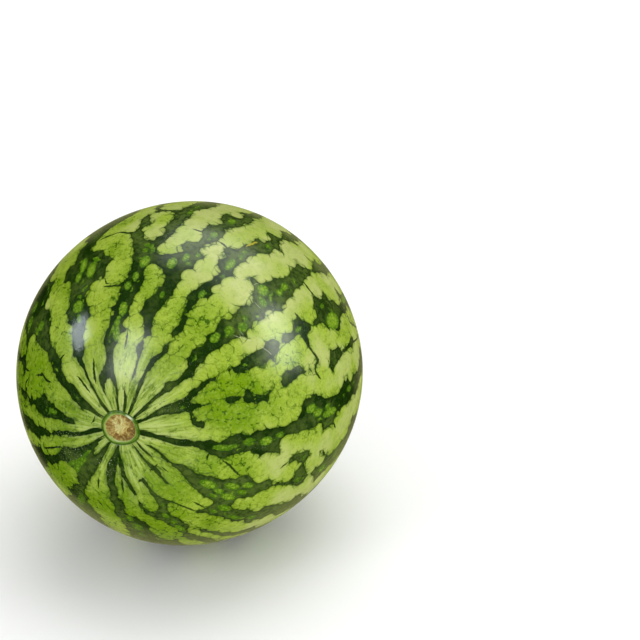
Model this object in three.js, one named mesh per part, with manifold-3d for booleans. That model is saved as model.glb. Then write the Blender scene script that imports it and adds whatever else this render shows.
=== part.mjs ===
// A round striped watermelon, one solid, lying on its side with the stem end raised a little.
// Millimetres, +Z up. The stem end faces -Y, and the origin is on the surface the fruit rests on,
// under the middle of its bounding box.
//
// The fruit is first made upright in its own frame, as a lathe about +Y with the stem scar on top.
// "rho" is a point's distance from that axis, and its "bearing" is the angle round it, counted
// from +X the way that ends at +Z up once the fruit has been laid on its side.
import * as THREE from 'three';
import { mergeVertices } from 'three/addons/utils/BufferGeometryUtils.js';
import Module from 'manifold-3d';

// Driving dimensions
const GIRTH_DIAMETER = 230;
const LENGTH = 247.5;
const STEM_RISE_DEG = 12.4;
const REST_SPOT_RADIUS = 18;

// The cross-section is a very slightly rounded square, and it swells unevenly along the fruit
const SQUARENESS = 0.006;
const SQUARE_CORNER_DEG = 84;
const SWELL = 0.0035;
const SWELL_START_DEG = 40;

// Stem end: a shallow dip, and in it a smooth green lip round a sunk disc of cork
const STEM_DIP = { depth: 1.6, radius: 24 };
const CREASE = { depth: 0.55, radius: 12.5, width: 0.7 };
const LIP = { height: 1.0, radius: 10.9, width: 1.1 };
const CORK = { depth: 0.9, radius: 9.4, edge: 0.9 };
const CORK_KNOB = { height: 1.3, radius: 3.2 };

// Blossom end: a small dip with a flat button of cork
const BLOSSOM_DIP = { depth: 1.2, radius: 13 };
const BUTTON = { height: 0.6, radius: 4.2, edge: 0.5 };

// Mesh
const SEGMENTS = 64;
const RING_STEP = 6.8;
const STEM_RING_RADII = [2, 4, 6.2, 8.2, 9.2, 9.9, 10.9, 11.8, 12.5, 13.3, 15, 18, 22, 27];
const BLOSSOM_RING_RADII = [2.2, 3.6, 4.5, 5.4, 8, 11.5, 16, 21, 27];

const HALF_GIRTH = GIRTH_DIAMETER / 2;
const HALF_LENGTH = LENGTH / 2;

const bell = (distance, width) => Math.exp(-((distance / width) ** 2));
const inside = (rho, radius, edge) => 1 - THREE.MathUtils.smoothstep(rho, radius - edge / 2, radius + edge / 2);

// Height of the stem end's relief above the plain spheroid, at a distance from the axis
function stemRelief(rho) {
  return -STEM_DIP.depth * bell(rho, STEM_DIP.radius)
    - CREASE.depth * bell(rho - CREASE.radius, CREASE.width)
    + LIP.height * bell(rho - LIP.radius, LIP.width)
    - CORK.depth * inside(rho, CORK.radius, CORK.edge)
    + CORK_KNOB.height * bell(rho, CORK_KNOB.radius);
}

function blossomRelief(rho) {
  return -BLOSSOM_DIP.depth * bell(rho, BLOSSOM_DIP.radius)
    + BUTTON.height * inside(rho, BUTTON.radius, BUTTON.edge);
}

// The meridian from the blossom end up to the stem end, as (distance from the axis, height)
function meridian() {
  const heightAt = (rho) => HALF_LENGTH * Math.sqrt(1 - (rho / HALF_GIRTH) ** 2);
  const polarAngle = (rho) => Math.asin(rho / HALF_GIRTH);
  const blossomEdge = Math.PI - polarAngle(BLOSSOM_RING_RADII.at(-1));
  const stemEdge = polarAngle(STEM_RING_RADII.at(-1));
  const steps = Math.round((blossomEdge - stemEdge) * HALF_GIRTH / RING_STEP);

  const points = [new THREE.Vector2(0, -HALF_LENGTH - blossomRelief(0))];
  for (const rho of BLOSSOM_RING_RADII) {
    points.push(new THREE.Vector2(rho, -heightAt(rho) - blossomRelief(rho)));
  }
  for (let step = 1; step < steps; step += 1) {
    const angle = THREE.MathUtils.lerp(blossomEdge, stemEdge, step / steps);
    const rho = HALF_GIRTH * Math.sin(angle);
    const relief = angle < Math.PI / 2 ? stemRelief(rho) : -blossomRelief(rho);
    points.push(new THREE.Vector2(rho, HALF_LENGTH * Math.cos(angle) + relief));
  }
  for (const rho of STEM_RING_RADII.toReversed()) {
    points.push(new THREE.Vector2(rho, heightAt(rho) + stemRelief(rho)));
  }
  points.push(new THREE.Vector2(0, HALF_LENGTH + stemRelief(0)));
  return points;
}

// How much further from the axis than the plain spheroid the rind lies, as a factor
function girthFactor(rho, height, bearing) {
  const fullness = Math.min(rho / HALF_GIRTH, 1) ** 2;
  const corner = THREE.MathUtils.degToRad(SQUARE_CORNER_DEG);
  const swellStart = THREE.MathUtils.degToRad(SWELL_START_DEG);
  const square = SQUARENESS * Math.cos(4 * (bearing - corner));
  const swell = SWELL * Math.sin(3 * bearing + swellStart + 2 * height / HALF_LENGTH);
  return 1 + fullness * (square + swell);
}

// The whole rind as a closed surface, laid on its side and not yet flattened underneath
function rindSurface() {
  const lathe = new THREE.LatheGeometry(meridian(), SEGMENTS);
  const position = lathe.getAttribute('position');
  for (let i = 0; i < position.count; i += 1) {
    const x = position.getX(i);
    const z = position.getZ(i);
    const factor = girthFactor(Math.hypot(x, z), position.getY(i), Math.atan2(-z, x));
    position.setXYZ(i, x * factor, position.getY(i), z * factor);
  }
  lathe.rotateX(Math.PI - THREE.MathUtils.degToRad(STEM_RISE_DEG));
  return lathe;
}

const wasm = await Module();
wasm.setup();

function toSolid(geometry) {
  const bare = geometry.clone();
  bare.deleteAttribute('normal');
  bare.deleteAttribute('uv');
  const merged = mergeVertices(bare, 1e-4);
  return new wasm.Manifold(new wasm.Mesh({
    numProp: 3,
    vertProperties: new Float32Array(merged.getAttribute('position').array),
    triVerts: new Uint32Array(merged.index.array),
  }));
}

function toGeometry(solid) {
  const mesh = solid.getMesh();
  const geometry = new THREE.BufferGeometry();
  geometry.setAttribute('position', new THREE.BufferAttribute(mesh.vertProperties, 3));
  geometry.setIndex(new THREE.BufferAttribute(mesh.triVerts, 1));
  geometry.computeVertexNormals();
  return geometry;
}

// Cuts the flat spot that the fruit rests on, and puts the origin under the middle of what is left
function restOnFlatSpot(surface) {
  surface.computeBoundingBox();
  const { min } = surface.boundingBox;
  const cutDepth = REST_SPOT_RADIUS ** 2 / GIRTH_DIAMETER;
  const block = new THREE.BoxGeometry(2 * LENGTH, 2 * LENGTH, LENGTH);
  block.translate(0, 0, min.z + cutDepth - LENGTH / 2);
  const geometry = toGeometry(toSolid(surface).subtract(toSolid(block)));
  geometry.computeBoundingBox();
  const { min: low, max: high } = geometry.boundingBox;
  geometry.translate(-(low.x + high.x) / 2, -(low.y + high.y) / 2, -low.z);
  return geometry;
}

const rind = new THREE.MeshStandardMaterial({ color: 0x7c9a3c, roughness: 0.32, metalness: 0 });
const watermelon = new THREE.Mesh(restOnFlatSpot(rindSurface()), rind);
watermelon.name = 'watermelon';

const fruit = new THREE.Group();
fruit.add(watermelon);

export default fruit;
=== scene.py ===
import math
import random

import bpy
import numpy as np
from mathutils import Matrix, Vector, noise


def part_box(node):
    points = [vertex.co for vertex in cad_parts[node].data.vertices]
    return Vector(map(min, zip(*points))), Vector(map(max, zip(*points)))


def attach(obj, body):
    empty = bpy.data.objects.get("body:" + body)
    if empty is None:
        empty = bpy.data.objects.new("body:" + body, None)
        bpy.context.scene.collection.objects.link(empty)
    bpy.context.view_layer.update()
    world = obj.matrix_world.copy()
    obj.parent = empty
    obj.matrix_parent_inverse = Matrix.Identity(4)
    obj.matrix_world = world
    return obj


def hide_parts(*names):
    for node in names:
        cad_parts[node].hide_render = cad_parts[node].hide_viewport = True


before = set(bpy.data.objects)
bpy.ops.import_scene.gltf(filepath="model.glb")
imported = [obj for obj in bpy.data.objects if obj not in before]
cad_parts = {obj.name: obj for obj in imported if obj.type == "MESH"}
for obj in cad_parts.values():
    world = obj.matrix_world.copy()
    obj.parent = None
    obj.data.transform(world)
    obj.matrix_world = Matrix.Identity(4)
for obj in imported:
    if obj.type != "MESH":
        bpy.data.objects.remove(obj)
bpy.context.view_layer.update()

MM = 0.001
SEED = 23

# ---------------------------------------------------------------- shape, as in the CAD part
HALF_GIRTH = 230.0 / 2
HALF_LENGTH = 247.5 / 2
STEM_RISE = math.radians(12.4)
REST_SPOT_RADIUS = 18.0
# The girth is a little square and uneven, by these shares of its radius
SQUARENESS, SQUARE_SIDES, SQUARE_CORNER = 0.006, 4, math.radians(84)
SWELL, SWELL_LOBES, SWELL_TWIST, SWELL_START = 0.0035, 3, 2, math.radians(40)
STEM_DIP_DEPTH, STEM_DIP_RADIUS = 1.6, 24.0
CREASE_DEPTH, CREASE_RADIUS, CREASE_WIDTH = 0.55, 12.5, 0.7
LIP_HEIGHT, LIP_RADIUS, LIP_WIDTH = 1.0, 10.9, 1.1
CORK_DEPTH, CORK_RADIUS, CORK_EDGE = 0.9, 9.4, 0.9
KNOB_HEIGHT, KNOB_RADIUS = 1.3, 3.2
BLOSSOM_DIP_DEPTH, BLOSSOM_DIP_RADIUS = 1.2, 13.0
BUTTON_HEIGHT, BUTTON_RADIUS, BUTTON_EDGE = 0.6, 4.2, 0.5

# The fruit's own directions: bearing 0, bearing 90 and the stem end
SIDE = np.array((1.0, 0.0, 0.0))
TOP = np.array((0.0, math.sin(STEM_RISE), math.cos(STEM_RISE)))
AXIS = np.array((0.0, -math.cos(STEM_RISE), math.sin(STEM_RISE)))
MM_PER_DEGREE = math.pi / 180 * HALF_GIRTH

# Rows of the mesh: down to this polar angle, this far apart in mm, with this many points each
ZONES = (
    (1.4, 0.42, 60), (2.9, 0.42, 120), (6.9, 0.42, 240), (13, 0.9, 240), (28, 1.5, 240),
    (152, 1.68, 480), (165, 1.5, 240), (176, 1.4, 120), (179.6, 1.0, 60),
)


# ---------------------------------------------------------------- markings
# Light bands, read down the fruit: rows of (polar angle, bearing of one edge, of the other).
# Bands that touch run together.
BANDS = {
    "a": [
        (6.2, 7, 25), (8, 6, 27), (10, 1.5, 27.5), (12, 0, 28), (15, -1, 26.5), (18, -2, 24),
        (20, -2.5, 22), (22.5, -2.3, 21), (23.7, -2.2, 11), (25, -2, 7), (27.3, -2, 7), (28.4, -1.8, 13),
        (29.5, -1.7, 21.5), (31.5, -1.3, 23.3), (33.3, -1, 23), (34.7, -0.6, 20), (36.5, 0, 18.4),
        (38, 1.4, 18), (40, 1.6, 17.4), (42, 1.9, 15.5), (44, 3, 14), (47, 3, 14), (49, 2.2, 13.4),
        (51, 2, 18.5), (53, 2.2, 19.7), (54.6, 2.5, 17.5), (57, 3, 18.3), (59, 3.4, 18.4),
        (60.6, 6, 18.8), (61.8, 9.5, 19.5), (64, 10, 19), (66.6, 10.5, 18.8), (68.2, 10, 17.5),
        (69.7, 8.6, 16),
    ],
    "a lobe": [(24.4, 16, 19), (25.2, 13.5, 20.7), (26.5, 12.3, 21.4), (28, 12, 21.5), (30, 12, 21)],
    "b": [
        (24.8, 27.3, 28.7), (26, 26, 30.3), (28, 24, 31.3), (30, 22.7, 32), (32, 23.4, 33),
        (34, 22.8, 34), (36, 22.3, 34.4), (38, 22, 34.6), (40, 21.5, 34), (41.5, 21.3, 32),
        (43, 22, 29.6), (44.6, 19.7, 29.3), (46.5, 18.2, 29.8), (48.5, 17.7, 29.8), (49.7, 20, 28.7),
        (51, 20.2, 29.5), (53.3, 20.2, 29.8), (55, 21.3, 28.2), (56.4, 23.5, 26),
    ],
    "b middle": [
        (55.3, 27.5, 29.3), (56.5, 25.2, 30.8), (58.5, 24, 31.5), (61, 23.4, 31.6), (63, 23, 31.7),
        (64.3, 20.5, 31.7), (66, 19.6, 31.7), (67.7, 19.8, 31.2), (68.8, 20.2, 28), (69.8, 20.8, 23.5),
    ],
    "a lower": [
        (67.5, 10.3, 15.5), (69.3, 8.8, 17), (70.3, 8, 19.5), (72, 7, 21), (74, 6.7, 31.3),
        (76, 7.1, 31.3), (76.6, 7.1, 15.6), (79, 7.4, 15.4), (80.3, 9, 15.8), (82, 10.1, 17.5),
        (84, 10, 17.5), (85.5, 9.7, 18), (87.5, 9, 18.5), (89.5, 9.2, 18), (91.5, 9.8, 17.5),
        (94, 9.4, 17.9), (96, 9.5, 18.8), (98, 10.5, 19), (100, 12.4, 20), (103, 13.6, 20.5),
        (106, 13, 21.5), (110, 12, 21),
    ],
    "b lower": [
        (70.2, 26, 30.5), (71.3, 22.5, 31), (73, 20, 31.2), (75, 19, 31.2), (77.5, 21.4, 31.3),
        (79.3, 22.7, 30.8), (80.5, 22.2, 29.6), (82, 21.6, 28.3), (84, 20.5, 26.6), (86, 19.3, 25.7),
        (88, 19.4, 25.2), (89.8, 20, 24.4), (91, 20.3, 26.8), (93, 20.5, 28.8), (95, 20.4, 29),
        (97, 19.6, 28.6), (99.3, 19, 27.5), (101, 18.5, 24.2), (104, 17.5, 22.3), (107, 17, 21),
    ],
    "b foot": [
        (101, 25.3, 27.5), (103, 24.2, 28.4), (105.5, 22.8, 28.6), (108, 21.8, 27.6), (112, 20.5, 26),
    ],
    "c": [
        (6.2, 37, 42), (7, 35, 43), (8.5, 33, 43), (10, 33, 43.5), (12, 34.4, 45), (14, 35, 45.5),
        (18, 35.3, 45.3), (19.8, 34.8, 45), (20.6, 34.4, 43.2), (22.5, 34, 43.8), (24.5, 34.5, 43.4),
        (27, 36, 42.7), (29, 36.6, 42.8), (30, 37.5, 42.6), (31, 37, 44.5), (33, 36.7, 45.5),
        (36, 35.8, 46), (39, 35.2, 45.6), (43, 35.8, 45.4), (45, 37.2, 44.6), (48, 36.2, 43.5),
        (50.4, 36.4, 41.8), (52, 36.2, 43.4), (54, 36.8, 44), (57, 37, 44), (59, 35.6, 43.6),
        (62, 35.3, 45.2), (64, 35.3, 45), (66, 35.5, 43), (67.3, 36, 41.8), (69, 37.3, 43.3),
        (70.5, 38.7, 44), (71.8, 38.8, 44.1), (72.6, 35.5, 44.3), (74.5, 34, 44.4), (77, 33.8, 44.7),
        (79, 34.5, 45), (80.6, 37.3, 45), (82, 38.5, 45), (84, 39.6, 45), (85.5, 38.5, 45.7),
        (87, 37.8, 46), (89, 38.6, 45.7), (90.4, 38.6, 45.2), (91.6, 36.4, 45.3), (93.5, 34.2, 45),
        (95.5, 32.8, 44.7), (98, 32.2, 44), (99.8, 32.5, 43.4), (101.3, 35.5, 43.2), (103, 36, 43),
        (105, 34.2, 42.9), (112, 34, 41.8),
    ],
    "d": [
        (6.2, 51, 64), (8, 50.8, 65), (10, 50.8, 65.5), (12, 50.8, 67), (15, 50.5, 69), (20, 51.4, 70),
        (22, 52.5, 70), (23.8, 51, 69.3), (25, 48.6, 68), (27, 48, 66.2), (29, 49.3, 65.6),
        (30.2, 51, 66), (31.2, 53.2, 66.4), (33, 55, 66.5), (34.6, 56.5, 66.2), (35.8, 55, 66),
        (38, 54.2, 65.2), (39.2, 54, 64.2), (40.3, 54.2, 65.3), (42, 55.7, 67), (44, 54.6, 67.4),
        (46, 54.5, 67), (48, 55.6, 66.6), (50, 54.1, 66.5), (52, 54, 64.4), (53.3, 54.5, 65),
        (56, 54, 65.3), (58, 53, 65), (60.5, 52.6, 64.4), (62.3, 53.2, 64), (63.6, 55, 64),
        (65, 57.7, 64), (67.3, 58, 64), (69, 55.2, 63.9), (71, 53.4, 63.5), (74, 52.6, 63.3),
        (76, 52.3, 63.2), (78, 51, 62.3), (79.5, 50.8, 60.6), (81.5, 51.3, 60), (83.5, 51.5, 59.4),
        (85.8, 51.2, 58.8), (87.2, 51.3, 56.8), (88.3, 51.7, 59), (89.8, 51.2, 59.9), (91, 49, 60.2),
        (93, 47.9, 60.6), (95, 47.7, 60.5), (97.3, 48.5, 59.6), (98.6, 49.3, 58.6), (99.6, 49.3, 56),
        (101.5, 48.8, 57), (104, 47.6, 57.5), (107, 46.8, 57.5), (112, 46.5, 57),
    ],
    "e": [
        (6.2, 72, 79.5), (8, 72, 80.5), (10, 72.6, 84.5), (12, 73, 89), (14, 73.6, 92), (16, 75, 84),
        (18, 75.4, 81), (20, 74.5, 81.5), (23, 74.3, 81.8), (26, 73.2, 82), (27.8, 71.2, 81.8),
        (29.5, 70, 81.2), (31.5, 70.1, 80.4), (33.5, 70.3, 81.2), (35.5, 70.9, 81.8), (37.2, 72.5, 82.2),
        (38.2, 70.6, 82.4), (40, 69.8, 82.3), (42, 69.8, 81.3), (44, 70.5, 80.6), (45.3, 71.2, 79.3),
        (46.7, 72, 77.6), (48.5, 73, 78.6), (50, 72, 79.1), (52, 70.4, 79.3), (55, 69.8, 79.2),
        (57, 69.2, 78), (59, 69.1, 76.8), (62, 70, 76.3), (64.3, 71.5, 75.9), (65.8, 71.1, 78),
        (67.5, 70.6, 78.8), (69.3, 70.7, 77.6), (71, 72, 76), (72.5, 71, 75.3), (73.5, 68.6, 75),
        (76, 68, 75.3), (78, 67.7, 76.3), (80, 67.2, 76.5), (82, 67, 76), (84, 68.4, 74.6),
        (85.3, 64.8, 73.6), (87, 64, 74), (89, 64.6, 74), (91, 65.8, 73), (93, 66, 72.5),
        (94.3, 63.6, 72.3), (97, 62.4, 72.3), (99.5, 62.8, 72.4), (101.5, 64.1, 72.4), (104, 63.5, 72.5),
        (108, 62, 73),
    ],
    "f": [
        (6.2, 89, 98.5), (8, 88.4, 99.7), (10, 89, 100), (12, 89.5, 100.3), (14, 82, 101),
        (17, 83, 102.7), (20, 83.6, 104), (23, 84.3, 104.5), (25, 86, 103.2), (27, 86.3, 101.6),
        (28.5, 86.3, 100.4), (29.8, 86.4, 99), (31, 86.5, 95.2), (32.5, 86.5, 97), (34, 86.6, 98),
        (35.3, 87.2, 97.3), (37, 88.3, 95.6), (38.6, 90, 94.5), (40.5, 89.6, 95.4), (42, 89.3, 95.8),
        (43.6, 88.4, 95), (45.5, 86.8, 94.6), (48, 86.3, 94), (50.5, 85.8, 94.6), (52.5, 86.3, 94.5),
        (54, 87.8, 94), (55.2, 90.5, 93),
    ],
    "f lower": [
        (59.8, 90.3, 92), (60.8, 88, 92.8), (63, 86, 93), (65, 86, 92.8), (67, 84.6, 92),
        (69, 82.6, 91.3), (70.6, 82, 90.4), (72.5, 81.8, 91), (74.3, 83.3, 90.8), (75.3, 83.8, 90.6),
        (77, 82.7, 90.7), (79.2, 82.6, 90.5), (80.2, 81, 90.4), (82.5, 80.3, 90.3), (85, 80.5, 90),
        (87, 81, 89.4), (89.5, 82, 88.8), (91.6, 82.2, 87.6), (93, 81, 87.2), (95, 80, 87), (98, 78, 87),
        (104, 77, 87),
    ],
    "f side lobe": [(91.4, 78, 79.8), (92.6, 76.4, 81), (94.5, 76, 82), (96.3, 76.6, 83), (98, 78, 84)],
    "g": [
        (66.6, 97.2, 99.5), (68, 95.4, 101), (70, 95, 102), (72, 95.4, 103), (73.7, 95.5, 102.6),
        (75.3, 95, 100.8), (77.3, 95.2, 101), (79, 95.3, 103), (81, 95.6, 103.5), (82.8, 96.3, 103),
        (84.2, 97.6, 101.3),
    ],
    "g lower": [
        (86.3, 96, 99.5), (87.6, 94.5, 102), (90, 94.4, 103.4), (93, 94, 104), (96, 94, 104),
        (101, 93.5, 102),
    ],
    "h": [
        (6.2, 107.5, 121), (8, 106.4, 121.5), (10, 105, 121.5), (12, 104.4, 121), (14, 105, 119),
        (15.3, 107, 116.5), (16.5, 110.5, 113),
    ],
    "h right": [
        (6.2, 119, 131.5), (8, 120.5, 132), (10, 120, 132.2), (11.5, 121.5, 133), (13.3, 123.7, 133),
        (16, 123.5, 133.3), (18, 121.5, 133), (19.2, 118.4, 132.8), (20.5, 114.8, 132.5),
        (22, 112.5, 132), (24, 111, 131.3), (26, 110.5, 129.5), (28, 110.3, 126.8), (30, 110, 125.8),
        (33, 109.5, 124.5), (35, 109.3, 123), (36.6, 107.5, 121), (38, 107, 118.6), (39.4, 107, 118),
        (41, 105, 119.3), (43, 104.5, 120.3), (45, 104.7, 120.4), (46.4, 106, 120.3), (47.4, 107.5, 120),
        (49, 103.5, 119), (50.2, 102.7, 117), (51.3, 102.3, 113), (52.5, 101.9, 111.2), (54, 101.5, 112),
        (55.6, 101, 112), (57, 101.6, 111.5), (59, 102.5, 110.6), (60.5, 103, 112.5), (62, 103.5, 114.6),
        (63.7, 104, 115.5), (64.7, 104.7, 119), (66, 105.4, 121.5), (68, 106.7, 122.5),
        (70, 108.3, 121.5), (71.2, 111, 120.5), (72.2, 112.6, 120.3),
    ],
    "h lower": [
        (71.6, 106.5, 108.5), (72.6, 105, 111.5), (74, 104.7, 120), (76, 105, 119.4), (79, 106.3, 118.2),
        (81, 107, 116.5), (82.8, 105.3, 113.8), (85, 103.6, 112.5), (87, 104.5, 112.5), (90, 106, 113),
    ],
    "i": [
        (6.2, 141.5, 154), (8, 141, 155.8), (9.5, 140, 155.8), (11, 138.4, 154.5), (13, 136.4, 153.6),
        (15, 136, 153), (18, 135.8, 152.2), (20, 136, 151), (21.6, 136, 150), (23.3, 135.8, 151.7),
        (25, 136.1, 152.3), (27, 136.9, 152), (29, 137.6, 150.8), (30.3, 136, 149), (31.6, 134.7, 147.8),
        (33.5, 134.2, 148), (36, 134.1, 147.7), (38.5, 133.8, 148), (41, 133.4, 147.6),
        (43.5, 133, 146.3), (45, 133.8, 144.6), (46, 131.6, 143.5), (48, 130.3, 143.5),
        (50, 129.5, 143.4), (52, 129.1, 143.7), (54, 129.4, 144.3), (56, 131, 144.2), (58, 133, 143.4),
        (60, 133.8, 142), (62, 133.4, 141), (64, 131.6, 139), (66, 129.6, 140.7), (68, 128.7, 142.5),
        (70, 128.1, 142.8), (72, 128.6, 141.3), (75, 128, 141),
    ],
    "k": [
        (6.2, 160.5, 189.5), (8, 161.5, 189.7), (10, 162.5, 190.7), (11.7, 163.6, 193),
        (13.3, 166, 195.2), (15, 168.2, 196), (16.2, 166.3, 196.2), (17.4, 164.4, 183.6),
        (19, 162.8, 182.2), (21, 161.6, 181), (22.6, 160.9, 179), (24, 160.4, 177.5), (26, 160, 176.6),
        (28, 159.3, 175.5), (30, 158.2, 174.3), (31.6, 157.2, 173.5), (33, 156.6, 174.4),
        (34.6, 156, 176.6), (36.5, 155.4, 178.2), (39, 154.8, 179.7), (42, 154.4, 180),
        (44, 154.8, 179.5), (45.6, 155.2, 177), (47.3, 155.8, 174.5), (49, 156.6, 168),
        (51, 157.8, 164.5), (52.7, 159.4, 161),
    ],
    "k lower": [(52.2, 165, 167), (53.6, 163, 168.4), (56, 162, 169.3), (60, 162, 169.5)],
    "k side": [
        (45.7, 177, 180.5), (47.5, 175.6, 181.6), (50, 174.3, 182), (53, 172.4, 182.4),
        (57, 173.5, 182.5),
    ],
    "l": [
        (13.5, -174, -164.6), (15, -173, -163.9), (17, -171.5, -163.7), (19, -170.7, -164.4),
        (22, -171.8, -165), (25, -172, -165), (28, -171.6, -164.8), (30, -171, -164), (32, -172, -164.2),
        (34, -173.5, -165), (36, -174.2, -166), (38, -174.2, -166.2), (40, -173.5, -166.8),
        (42, -174.2, -167.3), (45, -175, -167.8), (48, -176.2, -168.2), (53, -176, -167),
    ],
    "m": [
        (6.2, -161, -149.5), (8, -161, -148.5), (10, -160, -147), (12, -158.7, -145.8),
        (14, -158.5, -145.3), (17, -158.1, -146), (19, -158, -147), (20.3, -158.7, -147.7),
        (21.8, -159, -148.4), (23, -159, -150), (24.3, -159, -151.5), (26.4, -159, -150.8),
        (28, -158.8, -149.3), (30, -158.6, -148), (32, -158.3, -146.8), (34, -158, -146.9),
        (36, -157.7, -147.2), (38, -157, -148), (39.6, -155.5, -149.3),
    ],
    "m lower": [
        (39.4, -157.5, -155), (41, -158.6, -154), (43, -159.2, -152.9), (45, -159.5, -152.8),
        (49, -159.5, -154.5),
    ],
    "n": [
        (6.2, -145.5, -127), (8, -143.5, -127), (9.5, -141, -127), (11, -137, -127.3),
        (12.7, -134.5, -127.5), (14.3, -130.5, -128.7),
    ],
    "n lower": [
        (28.5, -140, -128.3), (30, -141.5, -127), (32, -141.8, -126.3), (35, -141.3, -126.4),
        (38, -141.3, -127), (39.5, -142, -127.6), (41.5, -142.8, -128), (45, -141.5, -125.5),
    ],
    "o": [
        (6.2, -120.5, -102.5), (8.5, -120, -103), (10, -119.5, -105), (11.5, -119, -107),
        (13, -118.5, -109.6), (14.7, -117.6, -110), (16, -118, -108), (18, -118, -107),
        (20, -118, -105.8), (22, -118, -104.8), (24, -118.3, -103.5), (26, -118.5, -102.5),
        (28, -118.7, -101.6), (30, -118.5, -101.8), (31.6, -118.3, -101.3), (33, -117.8, -99.6),
        (35, -116.5, -98.5), (37, -114.6, -98), (39, -113.5, -98), (41, -111.5, -97.4),
        (43, -108.5, -96), (45, -107, -95.3), (48, -107.3, -95), (53, -104.5, -95.8),
    ],
    "p": [
        (13.5, -95.7, -92), (16, -95.8, -90.3), (18, -95.8, -88.5), (20, -95.4, -84), (22, -94.8, -83.4),
        (24, -94.5, -82.6), (26, -94, -81.5), (27.7, -92.6, -80.6), (28.8, -90.6, -80.3),
        (31, -90.3, -80.2), (33, -90.5, -80), (34.8, -89.7, -80), (36, -87, -80.3), (37.4, -86, -81.2),
        (38.5, -84.8, -83),
    ],
    "q": [
        (6.2, -94, -51.8), (8, -91.3, -51.3), (10, -88.7, -50.7), (12, -86.4, -50.5), (14, -85, -51),
        (16, -84.5, -51.5), (17.3, -83.8, -51.4), (18.3, -82.8, -70), (20, -81.6, -68.5),
        (22, -80.3, -68), (24, -78.2, -67.8), (27, -78.4, -67.8), (29, -78, -68.3), (31, -76.6, -69.2),
        (32.6, -74.8, -71),
    ],
    "q right": [
        (16.5, -64.5, -51.5), (18, -64.3, -51.3), (20, -64.5, -50.8), (22, -64.3, -50.4),
        (23.8, -63.6, -50.1), (25.3, -63, -36), (27, -62, -38), (28.5, -60.6, -39.2), (30, -58.2, -39.6),
        (31.6, -56.8, -40.4), (33, -56, -40.7), (35, -55, -40.7), (37, -54.2, -41), (38.6, -53, -42),
        (40, -50.5, -43.6),
    ],
    "r": [
        (6.2, -48, -34), (8, -47.6, -38.6), (10, -47.1, -39), (12, -46.6, -38.7), (14, -46.3, -29.8),
        (16, -44.8, -30.5), (17.6, -43.8, -31), (19, -45, -32.4), (21, -47.4, -32.8), (23, -48.4, -33.3),
        (24.6, -48.8, -35), (26, -49, -36.6), (28, -49, -39),
    ],
    "r right": [
        (6.2, -33, -24), (8, -35.5, -22), (10, -36.3, -25.2), (12, -36.8, -25.7), (14, -37, -27.3),
        (15.5, -38, -29),
    ],
    "t": [
        (6.2, -29, -8.3), (8, -30, -7.5), (9.6, -26, -7.3), (12, -22.8, -7.5), (14, -24.3, -8),
        (16, -25.8, -9.3), (18, -27.4, -9.5), (19.6, -28.3, -9.3), (21.3, -27.3, -9), (23, -26.5, -9.1),
        (25, -27.2, -9.3), (27, -28, -9.7), (28.5, -28, -11), (29.4, -27.6, -13.6), (31, -25.7, -14.2),
        (32.7, -25.6, -15), (34, -27, -15.5), (35.3, -27.8, -15), (36.5, -27.6, -12.5),
        (38, -26.7, -11.3), (40, -25, -10), (41.5, -23.4, -9.8), (43, -21.8, -9.9), (45, -22, -10.7),
        (46.5, -22.8, -11), (48.5, -23.4, -10.1), (50.5, -23.4, -9.7), (52.2, -22.5, -9.6),
        (54, -23.2, -8), (56, -23.8, -8), (58, -23.4, -14.7), (60, -23, -15), (61.6, -22, -15.5),
        (63, -20.5, -17),
    ],
    "u": [
        (52.6, -7.2, -5), (53.6, -9, -4), (55, -12, -2.8), (56.7, -12.5, -2), (59, -11.4, -1.7),
        (62, -10.4, -2), (64, -9.9, -1.8), (65.5, -10.5, -1.6), (66.8, -12.2, -1.6), (68.4, -13.5, -2),
        (70, -13.8, -3.4), (71.3, -13.5, -3.8), (73, -12.8, -3.3), (75, -14.2, -3.7),
        (76.5, -15.2, -3.8), (77.6, -15.5, -0.8), (79, -15.4, 0.2), (81, -14.7, 1), (83, -13, 1.4),
        (85, -12.4, 1.6), (87.7, -12.8, 2.5), (88.6, -9, 2.3), (91, -5.6, 1.7), (93, -5.7, 1.5),
        (95, -6, 3), (97.5, -6.5, 5.2), (100, -7, 5.8), (104, -6.5, 6),
    ],
    "v": [
        (66.2, -17.7, -15.5), (67.5, -19, -13), (69, -20, -12), (71, -20.3, -12), (73, -19.5, -13.6),
        (74.5, -18.5, -15), (75.5, -17.4, -15.8),
    ],
    "w": [
        (47.6, -38.6, -36.3), (49, -40, -34.7), (50.5, -40.5, -32.8), (52, -39.6, -30.5),
        (54, -39.4, -29), (56.5, -39.6, -27), (58.3, -38.8, -26.2), (60, -37, -26), (62, -36.2, -26),
        (64, -35.5, -25.7), (66, -34.8, -25.9), (68.5, -34.6, -26.5), (70, -34.5, -24.3),
        (71.6, -34, -22.9), (73.3, -32.6, -22.9), (75, -32, -24), (77, -32.5, -26), (79, -33, -26),
        (81, -33.2, -24), (84, -33.5, -22.8), (90, -30, -20),
    ],
    "s": [
        (31.6, -61, -58.8), (33, -63, -57.4), (35, -64, -56), (37, -63.5, -53), (39, -63, -52),
        (41, -62.8, -52.3), (43, -62.5, -50.6), (45, -62, -49.8), (48, -61.5, -49.2), (50, -60.2, -49),
        (52, -58.5, -49.3), (54, -57.5, -50), (56, -57.5, -49), (58, -57, -47.9), (60, -56, -48),
        (62, -55.4, -49.4), (64, -55.5, -47), (66, -54, -44), (68, -52, -42.5), (70, -50.6, -42.7),
        (73, -51.5, -43.7), (79, -50, -42),
    ],
    "x": [
        (35.7, -78.8, -77), (37, -80.3, -75), (39, -81, -73), (41, -82, -71.4), (43, -82.3, -70.3),
        (46, -81.5, -70), (49, -81, -70.2), (51, -81, -72), (53, -80, -74.4), (54.4, -78, -76),
    ],
    "x lower": [(54.2, -74.5, -72), (56, -75.8, -70.3), (58, -76.5, -69), (61, -77, -68)],
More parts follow.
